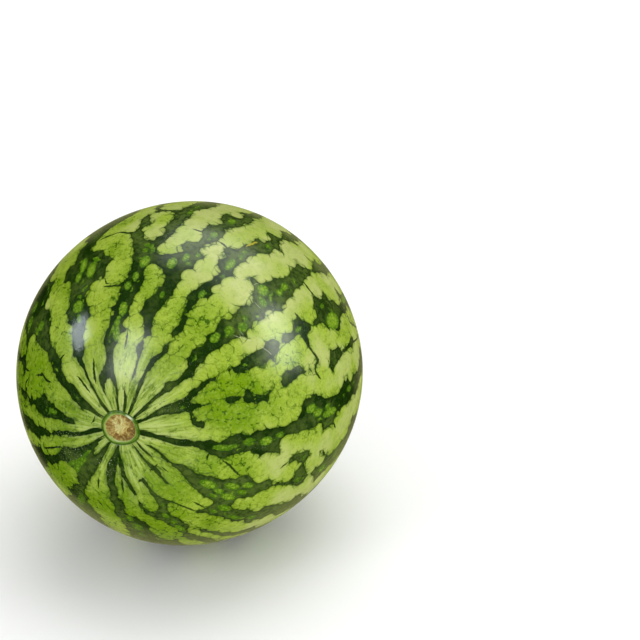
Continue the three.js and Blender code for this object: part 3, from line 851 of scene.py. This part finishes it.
def flattened(world):
    """The rind set down on its rest spot, and the place of the spheroid's centre"""
    level = world[:, 2].min() + REST_SPOT_RADIUS ** 2 / (2 * HALF_GIRTH)
    over = world[:, 2] - level
    world[:, 2] = level + 0.5 * (over + np.sqrt(over ** 2 + SPOT_EDGE ** 2))
    low, high = world.min(0), world.max(0)
    cad_low, cad_high = (np.array(corner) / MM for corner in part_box("watermelon"))
    shift = np.append((cad_low + cad_high)[:2] / 2 - (low + high)[:2] / 2, cad_low[2] - low[2])
    return world + shift, shift


def add_values(mesh, name, values):
    """A number or a vector for each point of the mesh, for the material to read"""
    vector = values.ndim == 2
    layer = mesh.attributes.new(name, "FLOAT_VECTOR" if vector else "FLOAT", "POINT")
    layer.data.foreach_set("vector" if vector else "value", values.astype(np.float32).ravel())


def add_markings(mesh, polar, bearing):
    """The stripes, lines and patches, for each point of the mesh"""
    draw = random.Random(SEED)
    bands = all_bands(draw)
    islands = ISLANDS + hidden_islands(bands, draw)
    add_values(mesh, "light_mm", light_field(polar, bearing, bands))
    for name, lines in (("cut", CUTS), ("scratch", SCRATCHES), ("nick", NICK)):
        distance, side = line_fields(polar, bearing, lines)
        add_values(mesh, name + "_mm", distance)
        add_values(mesh, name + "_side", side)
    patches = {
        "island": islands, "polish": POLISHED_PATCHES, "dusk_and_reflection": DUSKY_AND_REFLECTION_PATCHES, "dust": DUSTY_PATCHES,
    }
    for name, places in patches.items():
        add_values(mesh, name, patch_field(polar, bearing, places))
    lush, paler_and_lit = (patch_field(polar, bearing, places) for places in (LUSH_PATCHES, PALE_AND_LIT_PATCHES))
    # The paler patches, partly painted light, make the bands less lush
    add_values(mesh, "lush", MEAN_LUSH + (1 - MEAN_LUSH) * lush - MEAN_LUSH * paler_and_lit)


def build_rind():
    """The rind, and the place of the fruit's centre in mm"""
    rows = mesh_rows()
    polar = np.concatenate([[0.0]] + [np.full(points, angle) for angle, points in rows] + [[180.0]])
    turns = [np.arange(points) * 360.0 / points for _, points in rows]
    bearing = np.concatenate([[0.0]] + turns + [[0.0]])
    noise.seed_set(SHIFT_SEED)
    scar_rho, lift, pale = scar_details(polar, bearing)
    own = own_place(polar, bearing, scar_rho, lift)
    world, centre = flattened(to_world(own))

    faces, corners = mesh_faces(rows)
    mesh = bpy.data.meshes.new("watermelon_rind")
    mesh.from_pydata((world * MM).tolist(), [], faces)
    mesh.polygons.foreach_set("use_smooth", [True] * len(faces))
    mesh.uv_layers.new(name="OFBake").data.foreach_set("uv", np.array(corners, float).ravel())

    add_values(mesh, "own_place", own)
    add_values(mesh, "scar_rho", scar_rho)
    # How pale the cork is, partly a painted highlight on its folds
    add_values(mesh, "cork_pale_and_highlight", pale)
    add_values(mesh, "blossom_rho", np.where(polar > 90, from_axis(polar), FAR_RHO))
    ground = np.hypot(*(world - world[world[:, 2].argmin()])[:, :2].T)
    ground[world[:, 2] > HALF_GIRTH] = FAR_RHO
    add_values(mesh, "ground_mm", ground)
    add_markings(mesh, polar, bearing)
    rind = bpy.data.objects.new("watermelon_rind", mesh)
    bpy.context.scene.collection.objects.link(rind)
    return rind, centre


# ---------------------------------------------------------------- material
def colour(red, green, blue):
    """A linear colour from the numbers of a screen colour"""
    screen = [part / 255 for part in (red, green, blue)]
    return (*((s / 12.92 if s < 0.04045 else ((s + 0.055) / 1.055) ** 2.4) for s in screen), 1.0)


# Light bands
YELLOW_GREEN = colour(170, 180, 104)
FRESH_GREEN = colour(146, 169, 53)
LEAF_GREEN = colour(106, 139, 6)
DEEP_GREEN = colour(108, 140, 14)
GRANULE_HEART = colour(172, 188, 80)
FLECK_GREEN = colour(84, 122, 2)
VEIN_GREEN = colour(80, 108, 2)
CRACK_GREEN = colour(48, 82, 4)
# A painted sheen round the stem scar
SHEEN_PALE_GREEN = colour(160, 177, 100)
PALE_STREAK = colour(182, 194, 122)
# Dark stripes
DARK_GREEN = colour(21, 45, 2)
# Partly a painted reflection of the floor
DUSKY_AND_REFLECTION_GREEN = colour(70, 89, 31)
DARKEST_GREEN = colour(16, 40, 2)
BLOOM_GREEN = colour(56, 86, 10)
DUST = colour(156, 168, 132)
ISLAND_DEEP = colour(64, 104, 4)
ISLAND_PALE = colour(130, 160, 40)
# Marks on both
GROUND_YELLOW = colour(196, 188, 96)
SCRATCH_PALE = colour(190, 196, 160)
NICK_YELLOW = colour(176, 168, 36)
# The stem scar and the blossom end
CREASE_GREEN = colour(54, 88, 8)
LIP_GREEN = colour(80, 116, 26)
LIP_PALE = colour(142, 160, 80)
# A painted highlight: a pale glint on the lip
LIP_GLINT = colour(198, 212, 176)
CORK_DARK = colour(116, 86, 28)
CORK_BROWN = colour(148, 122, 58)
CORK_OLIVE = colour(160, 156, 84)
CORK_TAN = colour(180, 162, 88)
CORK_CREAM = colour(196, 189, 122)

# Millimetres across a lobe and a granule of a light band, and a dash near the stem scar
LOBE, GRANULE, DASH = 8.5, 2.9, 2.6
# How far a lobe bulges for each mm towards its middle, and the shares of their size at which lobes
# and granules neither bulge nor sink
LOBE_BULGE, LOBE_LEVEL, GRANULE_LEVEL = 0.62, 0.63, 0.56
# How far noises shift the patterns, in mm
SWAY, KINK, BEND = 2.2, 1.5, 1.6
# The spokes near the scar are a pattern on a ring of this radius, which changes slowly outwards
SPOKE_RADIUS, SPOKE_CHANGE = 30.0, 0.14
# Millimetres from the axis: where the spokes end, where cracks begin and where the edges get bumpy
SPOKES_END, CRACKS_BEGIN, BUMPS_BEGIN = (24.0, 70.0), (26.0, 66.0), (22.0, 80.0)
# A spot on the lip with a painted highlight, a pale glint: millimetres from the axis along SIDE and TOP
LIP_GLINT_SPOT = (5.8, 9.8)
# Millimetres from the rest spot's middle over which the pale ground spot ends
GROUND_EDGE = (34.0, 62.0)
SPECULAR = 0.3
ROUGHNESS = (0.18, 0.27)
POLISH, CORK_ROUGHNESS = -0.12, 0.5
BUMP_STRENGTH, BUMP_HEIGHT, CRACK_DEPTH = 0.35, 0.12, 0.25


class Paint:
    """Makes the nodes of one material. Each call returns the output that holds its result."""

    def __init__(self, name):
        self.material = bpy.data.materials.new(name)
        self.material.use_nodes = True
        self.tree = self.material.node_tree
        self.tree.nodes.clear()
        self.shader = self.tree.nodes.new("ShaderNodeBsdfPrincipled")
        output = self.tree.nodes.new("ShaderNodeOutputMaterial")
        self.tree.links.new(self.shader.outputs["BSDF"], output.inputs["Surface"])

    def give(self, socket, value):
        if isinstance(value, bpy.types.NodeSocket):
            self.tree.links.new(value, socket)
        else:
            socket.default_value = value

    def node(self, kind, inputs, **settings):
        node = self.tree.nodes.new(kind)
        for name, value in settings.items():
            setattr(node, name, value)
        for name, value in inputs.items():
            self.give(node.inputs[name], value)
        return node

    def read(self, name, output="Fac"):
        return self.node("ShaderNodeAttribute", {}, attribute_name=name).outputs[output]

    def math(self, operation, *values):
        inputs = dict(enumerate(values))
        return self.node("ShaderNodeMath", inputs, operation=operation).outputs["Value"]

    def joined(self, operation, first, *others):
        for other in others:
            first = self.math(operation, first, other)
        return first

    def add(self, *values):
        return self.joined("ADD", *values)

    def times(self, *values):
        return self.joined("MULTIPLY", *values)

    def scaled(self, value, factor, offset):
        return self.math("MULTIPLY_ADD", value, factor, offset)

    def vector(self, operation, *values, output="Vector"):
        inputs = dict(enumerate(values))
        return self.node("ShaderNodeVectorMath", inputs, operation=operation).outputs[output]

    def rise(self, value, low, high, start=0.0, end=1.0):
        """A smooth change from start to end as the value goes from low to high"""
        inputs = {"Value": value, "From Min": low, "From Max": high, "To Min": start, "To Max": end}
        node = self.node("ShaderNodeMapRange", inputs, interpolation_type="SMOOTHSTEP")
        return node.outputs["Result"]

    def fall(self, value, low, high, start=1.0):
        """A smooth change from start to 0 as the value goes from low to high"""
        return self.rise(value, low, high, start, 0.0)

    def mix(self, share, first, second):
        """From the first colour to the second"""
        inputs = {"Factor": share, 6: first, 7: second}
        return self.node("ShaderNodeMix", inputs, data_type="RGBA").outputs[2]


class Rind(Paint):
    """The rind's material, with the patterns that its colours share.

    The two numbers after a value are the levels between which a marking comes in or fades out: mm
    for a distance, and round a mean of 0.5 for a noise. Those after them say how strongly it shows,
    at the lower and the upper level."""

    def __init__(self):
        super().__init__("rind")
        self.place = self.read("own_place", "Vector")
        self.flat = self.vector("MULTIPLY", self.place, (1.0, 1.0, 0.0))
        self.rho = self.read("scar_rho")
        self.grain = self.noise(1.4, detail=3.0, roughness=0.65)
        self.close = self.fall(self.rho, *SPOKES_END)
        self.away = self.rise(self.rho, *CRACKS_BEGIN)
        sway = self.noise(5.0, output="Color")
        self.swayed = self.shifted(self.place, sway, SWAY)
        kinked = self.shifted(self.swayed, self.noise(1.7, output="Color"), KINK)
        self.lobe_edge = self.cells(kinked, LOBE)
        self.granule_edge = self.cells(kinked, GRANULE)
        self.granule_middle = self.cells(self.swayed, GRANULE, "F1")
        # Near the stem scar everything is drawn out into spokes
        ring = self.vector("MULTIPLY", self.vector("NORMALIZE", self.flat), (SPOKE_RADIUS,) * 3)
        change = self.vector("MULTIPLY", self.place, (SPOKE_CHANGE,) * 3)
        self.spoke = self.vector("ADD", ring, change)
        self.dash_edge = self.cells(self.shifted(self.spoke, sway, BEND), DASH)

    def noise(self, size, detail=2.0, roughness=0.5, output="Fac", place=None):
        """Soft random blotches about this many mm across"""
        place = self.place if place is None else place
        inputs = {"Vector": place, "Scale": 1 / size, "Detail": detail, "Roughness": roughness}
        return self.node("ShaderNodeTexNoise", inputs).outputs[output]

    def cells(self, place, size, feature="DISTANCE_TO_EDGE"):
        """Distance in mm to the nearest edge, or centre, of random cells this many mm across"""
        inputs = {"Vector": place, "Scale": 1 / size}
        node = self.node("ShaderNodeTexVoronoi", inputs, feature=feature)
        return self.times(node.outputs["Distance"], size)

    def shifted(self, place, noise_colour, reach):
        """The place, shifted along each axis by up to this many mm"""
        return self.vector("MULTIPLY_ADD", noise_colour, (reach,) * 3, place)

    def wobble(self, noise_value, width):
        """A noise as a number from minus half to plus half the width"""
        return self.scaled(noise_value, width, -width / 2)

    def blotched(self, skin, size, low, high, strength, other):
        """The skin with random blotches of another colour"""
        return self.mix(self.rise(self.noise(size), low, high, end=strength), skin, other)

    def edge(self):
        """Distance in mm into a light band. Its drawn edge swells into lobes made of granules."""
        lobe_middle = self.cells(self.swayed, LOBE, "F1")
        lobes = self.scaled(lobe_middle, -LOBE_BULGE, LOBE_BULGE * LOBE_LEVEL * LOBE)
        bumpy = self.rise(self.read("lush"), 0.3, 0.9, 0.4, 0.85)
        granules = self.times(self.scaled(self.granule_middle, -1.0, GRANULE_LEVEL * GRANULE), bumpy)
        swell = self.times(self.add(lobes, granules), self.rise(self.rho, *BUMPS_BEGIN, 0.1))
        fringe = self.times(self.rise(self.dash_edge, 0.1, 1.1, -0.3, 0.7), self.close)
        return self.add(self.read("light_mm"), swell, self.wobble(self.grain, 0.8), fringe)

    def line(self, name, width):
        """How strongly a drawn line shows, from 0 to 1"""
        side = self.add(self.read(name + "_side"), self.wobble(self.noise(2.4), 1.6))
        shown = self.fall(self.scaled(self.grain, 0.9, self.math("ABSOLUTE", side)), 0.95, 1.75)
        return self.times(shown, self.fall(self.read(name + "_mm"), 0.6 * width, width))

    def light(self, edge):
        """Light bands: pale to lush green, made up of small granules with greener edges"""
        lush = self.rise(self.noise(26.0, detail=1.0), 0.36, 0.64, -0.2, 0.2)
        lush = self.add(self.read("lush"), lush)
        skin = self.mix(self.rise(lush, -0.1, 0.45), YELLOW_GREEN, FRESH_GREEN)
        skin = self.mix(self.rise(lush, 0.4, 0.95), skin, LEAF_GREEN)
        skin = self.blotched(skin, 5.0, 0.45, 0.68, 0.25, DEEP_GREEN)
        heart = self.fall(self.granule_middle, 0.2, 0.6 * GRANULE)
        skin = self.mix(self.times(heart, self.rise(lush, 0.2, 1.0, 0.25, 0.22)), skin, GRANULE_HEART)
        broken = self.rise(self.noise(3.2), 0.45, 0.58)
        cracked = self.math("MAXIMUM", self.away, self.rise(lush, 0.3, 0.8, end=0.8))
        fine = self.fall(self.add(self.granule_edge, self.wobble(self.grain, -0.8)), 0.05, 0.5)
        fine = self.times(fine, broken, self.rise(lush, 0.15, 0.85, end=0.75))
        skin = self.mix(self.times(fine, cracked), skin, VEIN_GREEN)
        flecks = self.times(self.rise(self.grain, 0.54, 0.67), self.rise(lush, 0.0, 0.8, 0.22, 0.75))
        skin = self.mix(flecks, skin, FLECK_GREEN)
        skin = self.mix(self.fall(edge, 0.3, 2.2, 0.45), skin, VEIN_GREEN)
        notch = self.fall(edge, 0.2, 3.8)
        inner = self.times(broken, self.rise(self.noise(13.0, detail=1.0), 0.36, 0.5))
        inner = self.times(inner, self.rise(lush, 0.1, 0.8, 0.1))
        crack = self.fall(self.add(self.lobe_edge, self.wobble(self.grain, -0.7)), 0.1, 0.6)
        crack = self.times(crack, self.math("MAXIMUM", notch, inner), cracked)
        return self.mix(crack, skin, CRACK_GREEN), crack

    def streaks(self, skin):
        """Round the stem scar the skin is paler, a painted sheen, with fine streaks and dashes that run
        outwards
        """
        lush = self.read("lush")
        streak = self.noise(1.0, place=self.vector("MULTIPLY", self.spoke, (0.5, 0.5, 0.5)))
        # Painted sheen round the stem scar, less where the bands are lush
        skin = self.mix(self.times(self.close, self.rise(lush, 0.3, 0.8, 0.5, 0.1)), skin, SHEEN_PALE_GREEN)
        pale = self.times(self.rise(streak, 0.5, 0.62), self.rise(lush, 0.4, 0.9, 0.4, 0.1))
        skin = self.mix(self.times(pale, self.close), skin, PALE_STREAK)
        skin = self.mix(self.times(self.fall(streak, 0.36, 0.47, 0.55), self.close), skin, VEIN_GREEN)
        dash = self.fall(self.add(self.dash_edge, self.wobble(self.grain, -0.6)), 0.05, 0.45)
        dash = self.times(dash, self.rise(self.noise(4.5), 0.52, 0.64, 0.05, 0.7), self.close)
        return self.mix(dash, skin, CRACK_GREEN)

    def dark(self, edge):
        """Dark stripes: deepest along their edges, with mottled islands and dusty specks inside"""
        # Dusky olive: partly the rind's own tone, partly a painted reflection of the floor
        dusk_and_reflection = self.add(self.read("dusk_and_reflection"), self.rise(self.noise(12.0), 0.38, 0.62, -0.25, 0.3))
        skin = self.mix(dusk_and_reflection, DARK_GREEN, DUSKY_AND_REFLECTION_GREEN)
        bloom = self.rise(self.granule_edge, 0.1, 0.9)
        bloom = self.times(bloom, self.rise(self.noise(7.0), 0.42, 0.62))
        skin = self.mix(self.times(bloom, 0.33), skin, BLOOM_GREEN)
        skin = self.mix(self.fall(self.noise(3.0), 0.34, 0.56, 0.6), skin, DARKEST_GREEN)
        skin = self.mix(self.rise(edge, -2.4, -0.2, end=0.6), skin, DARKEST_GREEN)
        specks = self.rise(self.noise(0.8, detail=1.0), 0.63, 0.71)
        settled = self.scaled(self.rise(self.noise(17.0), 0.5, 0.66), 0.15, self.read("dust"))
        skin = self.mix(self.times(specks, settled), skin, DUST)
        wild = self.rise(self.noise(6.5, detail=1.0), 0.6, 0.72, end=0.45)
        wild = self.times(wild, self.fall(edge, -3.6, -2.4), self.away)
        island = self.math("MAXIMUM", self.read("island"), wild)
        shown = self.rise(self.add(island, self.wobble(self.grain, 0.8)), 0.16, 0.4)
        bright = self.rise(self.granule_edge, 0.0, 0.7, end=0.55)
        bright = self.add(bright, self.rise(island, 0.4, 1.0, -0.1, 0.45))
        bright = self.add(bright, self.rise(self.grain, 0.5, 0.66, end=-0.5))
        return self.mix(shown, skin, self.mix(bright, ISLAND_DEEP, ISLAND_PALE))

    def from_ring(self, radius):
        """Distance in mm from a ring round the stem scar"""
        return self.math("ABSOLUTE", self.add(self.rho, -radius))

    def scar(self, skin):
        """Crease, lip and cork of the stem scar"""
        skin = self.mix(self.fall(self.from_ring(CREASE_RADIUS), 0.25, 1.1, 0.95), skin, CREASE_GREEN)
        outward = self.add(self.rho, self.wobble(self.noise(4.0), 1.6))
        lip = self.mix(self.rise(outward, 10.0, 11.5), LIP_PALE, LIP_GREEN)
        skin = self.mix(self.fall(self.rho, 11.5, 12.2), skin, lip)
        # A painted highlight, a pale glint on the lip
        from_spot = self.vector("DISTANCE", self.flat, (*LIP_GLINT_SPOT, 0.0), output="Value")
        glint = self.fall(self.from_ring(LIP_RADIUS), 0.8, 1.7)
        glint = self.times(glint, self.fall(from_spot, 1.2, 4.2, 0.9))
        skin = self.mix(glint, skin, LIP_GLINT)
        # The cork's paleness is partly a painted highlight on its raised folds
        pale = self.read("cork_pale_and_highlight")
        cork = self.mix(self.rise(pale, -0.05, 0.16), CORK_DARK, CORK_BROWN)
        cork = self.mix(self.rise(pale, 0.1, 0.34), cork, CORK_TAN)
        cork = self.mix(self.rise(pale, 0.3, 0.65), cork, CORK_CREAM)
        cork = self.blotched(cork, 1.8, 0.45, 0.65, 0.3, CORK_OLIVE)
        rays = self.rise(self.noise(2.6, place=self.spoke), 0.46, 0.58)
        rays = self.times(rays, self.rise(self.rho, 4.0, 8.0, end=0.7))
        rays = self.times(rays, self.rise(pale, 0.2, 0.6, 1.0, 0.2))
        cork = self.mix(rays, cork, CORK_DARK)
        folded = self.shifted(self.place, self.noise(1.5, output="Color"), BEND)
        cork = self.mix(self.fall(self.cells(folded, 1.9), 0.0, 0.2, 0.5), cork, CORK_DARK)
        ragged = self.add(self.rho, self.wobble(self.noise(2.2), 1.6))
        is_cork = self.fall(ragged, 9.5, 10.2)
        return self.mix(is_cork, skin, cork), is_cork

    def button(self, skin):
        """The small cork button at the blossom end, with a dark rim"""
        ragged = self.add(self.read("blossom_rho"), self.wobble(self.noise(1.6), 1.4))
        skin = self.mix(self.fall(ragged, 4.4, 6.4, 0.8), skin, CREASE_GREEN)
        cork = self.mix(self.rise(self.noise(1.1), 0.36, 0.62), CORK_DARK, CORK_BROWN)
        cork = self.blotched(cork, 1.7, 0.5, 0.66, 0.7, CORK_TAN)
        cork = self.mix(self.rise(ragged, 2.4, 4.2, end=0.7), cork, CORK_DARK)
        is_button = self.fall(ragged, 3.9, 4.5)
        return self.mix(is_button, skin, cork), is_button

    def finish(self):
        edge = self.edge()
        light, crack = self.light(edge)
        uncut = self.math("SUBTRACT", 1.0, self.line("cut", 2.0))
        is_light = self.times(self.rise(edge, -0.4, 0.4), uncut)
        skin = self.mix(is_light, self.dark(edge), self.streaks(light))
        # Underneath, where the fruit lay on the ground, the skin has stayed pale
        ground = self.add(self.read("ground_mm"), self.times(self.noise(9.0), 26.0))
        skin = self.mix(self.fall(ground, *GROUND_EDGE, 0.8), skin, GROUND_YELLOW)
        skin = self.mix(self.times(self.line("scratch", 1.2), 0.4), skin, SCRATCH_PALE)
        skin = self.mix(self.times(self.line("nick", 1.6), 0.75), skin, NICK_YELLOW)
        skin, is_cork = self.scar(skin)
        skin, is_button = self.button(skin)
        is_cork = self.add(is_cork, is_button)
        gloss = self.rise(self.noise(2.6), 0.3, 0.7, *ROUGHNESS)
        gloss = self.scaled(self.read("polish"), POLISH, gloss)
        height = self.scaled(crack, -CRACK_DEPTH, self.noise(1.1))
        height = self.add(height, self.times(is_cork, self.noise(0.7, detail=3.0)))
        bump = {"Strength": BUMP_STRENGTH, "Distance": BUMP_HEIGHT * MM, "Height": height}
        self.give(self.shader.inputs["Base Color"], skin)
        self.give(self.shader.inputs["Specular IOR Level"], SPECULAR)
        self.give(self.shader.inputs["Roughness"], self.scaled(is_cork, CORK_ROUGHNESS, gloss))
        self.give(self.shader.inputs["Normal"], self.node("ShaderNodeBump", bump).outputs["Normal"])
        return self.material


# ---------------------------------------------------------------- camera, floor and light
CAMERA_TURN = math.radians(19.1)
CAMERA_RISE = math.radians(30.0)
CAMERA_DISTANCE = 2.024       # metres from the middle of the fruit
CLIP_END = 50.0               # metres
SENSOR_WIDTH = 36.0           # mm
FRAME_PIXELS = 640
FOCAL_PIXELS = 3000
CENTRE_X, CENTRE_Y = 190.12, 372.61          # the fruit's middle in the frame, in pixels

RIGHT = Vector((math.cos(CAMERA_TURN), math.sin(CAMERA_TURN), 0))
BACK = Vector((
    math.sin(CAMERA_TURN) * math.cos(CAMERA_RISE),
    -math.cos(CAMERA_TURN) * math.cos(CAMERA_RISE),
    math.sin(CAMERA_RISE),
))
UP = BACK.cross(RIGHT)

FLOOR_SIZE = 14.0             # metres
FLOOR_COLOUR, FLOOR_ROUGHNESS = (0.9, 0.9, 0.9, 1.0), 0.9
WORLD_LIGHT = 0.69
WHITE, COOL_WHITE, LEAFY = (1.0, 1.0, 1.0), (0.85, 0.93, 1.0), (1.0, 1.0, 0.42)
# Name, direction along the camera's right, up and back, then metres away, wide and high, turn in
# degrees, watts and tint
GLOSS_LAMPS = (
    ("gloss_right", (0.88, 0.37, 0.29), 1.7, 0.6, 0.95, -35, 13.5, WHITE),
    ("gloss_edge", (0.78, 0.54, 0.31), 1.7, 0.5, 1.7, -35, 8, WHITE),
    ("gloss_front", (-0.55, 0.26, 0.8), 1.7, 0.6, 1.0, 12, 18, WHITE),
    ("gloss_window", (-0.89, 0.4, 0.17), 1.7, 0.5, 0.36, 0, 6, COOL_WHITE),
    ("gloss_above", (0.2, 0.93, -0.05), 2.2, 1.8, 1.4, 0, 24, WHITE),
    ("gloss_behind", (0.07, -0.2, -1.0), 2.0, 2.3, 3.2, 0, 8.5, LEAFY),
)
MATT_LAMPS = (
    ("box_right", (0.85, 0.38, 0.36), 1.7, 0.5, 0.8, 0, 2.6, WHITE),
    ("box_low", (0.7, -0.3, 0.65), 1.9, 0.9, 0.35, 0, 10, WHITE),
    ("box_foot", (-0.1, -0.42, 0.9), 1.9, 0.9, 0.3, 0, 3, WHITE),
    ("box_front", (-0.655, 0.137, 0.744), 1.7, 0.34, 0.9, 12, 6.5, WHITE),
    ("box_above", (0.2, 0.93, 0.02), 2.2, 2.6, 2.4, 0, 25, WHITE),
    ("box_key", (0.1, 0.86, 0.5), 2.2, 1.2, 1.2, 0, 6, WHITE),
)


def add_object(name, data, place, turn):
    obj = bpy.data.objects.new(name, data)
    bpy.context.scene.collection.objects.link(obj)
    obj.matrix_world = Matrix.Translation(place) @ turn.to_4x4()
    return obj


def add_camera(centre):
    """A long lens whose frame puts the fruit's middle where it belongs"""
    data = bpy.data.cameras.new("camera")
    data.sensor_width = SENSOR_WIDTH
    data.lens = data.sensor_width * FOCAL_PIXELS / FRAME_PIXELS
    data.clip_end = CLIP_END
    half = FRAME_PIXELS / 2
    across, down = (CENTRE_X - half) / FOCAL_PIXELS, (CENTRE_Y - half) / FOCAL_PIXELS
    ray = (across * RIGHT - down * UP - BACK).normalized()
    turn = Matrix((RIGHT, UP, BACK)).transposed()
    camera = add_object("camera", data, centre - CAMERA_DISTANCE * ray, turn)
    bpy.context.scene.camera = camera


def add_lamp(centre, name, toward, distance, width, height, turn, power, tint):
    """A soft box on a line from the fruit's centre, facing it"""
    ray = (toward[0] * RIGHT + toward[1] * UP + toward[2] * BACK).normalized()
    data = bpy.data.lights.new(name, "AREA")
    data.shape = "RECTANGLE"
    data.size, data.size_y = width, height
    data.energy = power
    data.color = tint
    facing = (-ray).to_track_quat("-Z", "Y").to_matrix() @ Matrix.Rotation(math.radians(turn), 3, "Z")
    lamp = add_object(name, data, centre + distance * ray, facing)
    lamp.visible_camera = False
    return lamp


def add_floor():
    """A pale floor that the gloss doesn't show"""
    bpy.ops.mesh.primitive_plane_add(size=FLOOR_SIZE)
    floor = bpy.context.object
    floor.name = "floor"
    floor.visible_glossy = False
    p = Paint("floor")
    p.give(p.shader.inputs["Base Color"], FLOOR_COLOUR)
    p.give(p.shader.inputs["Roughness"], FLOOR_ROUGHNESS)
    floor.data.materials.append(p.material)


def add_world():
    """Even light all round, which the gloss doesn't show"""
    world = bpy.data.worlds.new("studio")
    bpy.context.scene.world = world
    world.use_nodes = True
    background = world.node_tree.nodes["Background"]
    background.inputs["Color"].default_value = (*WHITE, 1.0)
    background.inputs["Strength"].default_value = WORLD_LIGHT
    world.cycles_visibility.glossy = False


rind, centre = build_rind()
rind.data.materials.append(Rind().finish())
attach(rind, "root")
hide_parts("watermelon")

fruit_centre = Vector(centre * MM)
add_camera(fruit_centre)
add_floor()
# Each lamp lights either the rind's gloss alone or the matt rind under it alone
for values in GLOSS_LAMPS:
    add_lamp(fruit_centre, *values).visible_diffuse = False
for values in MATT_LAMPS:
    add_lamp(fruit_centre, *values).visible_glossy = False
add_world()
bpy.context.scene.view_settings.view_transform = "Standard"
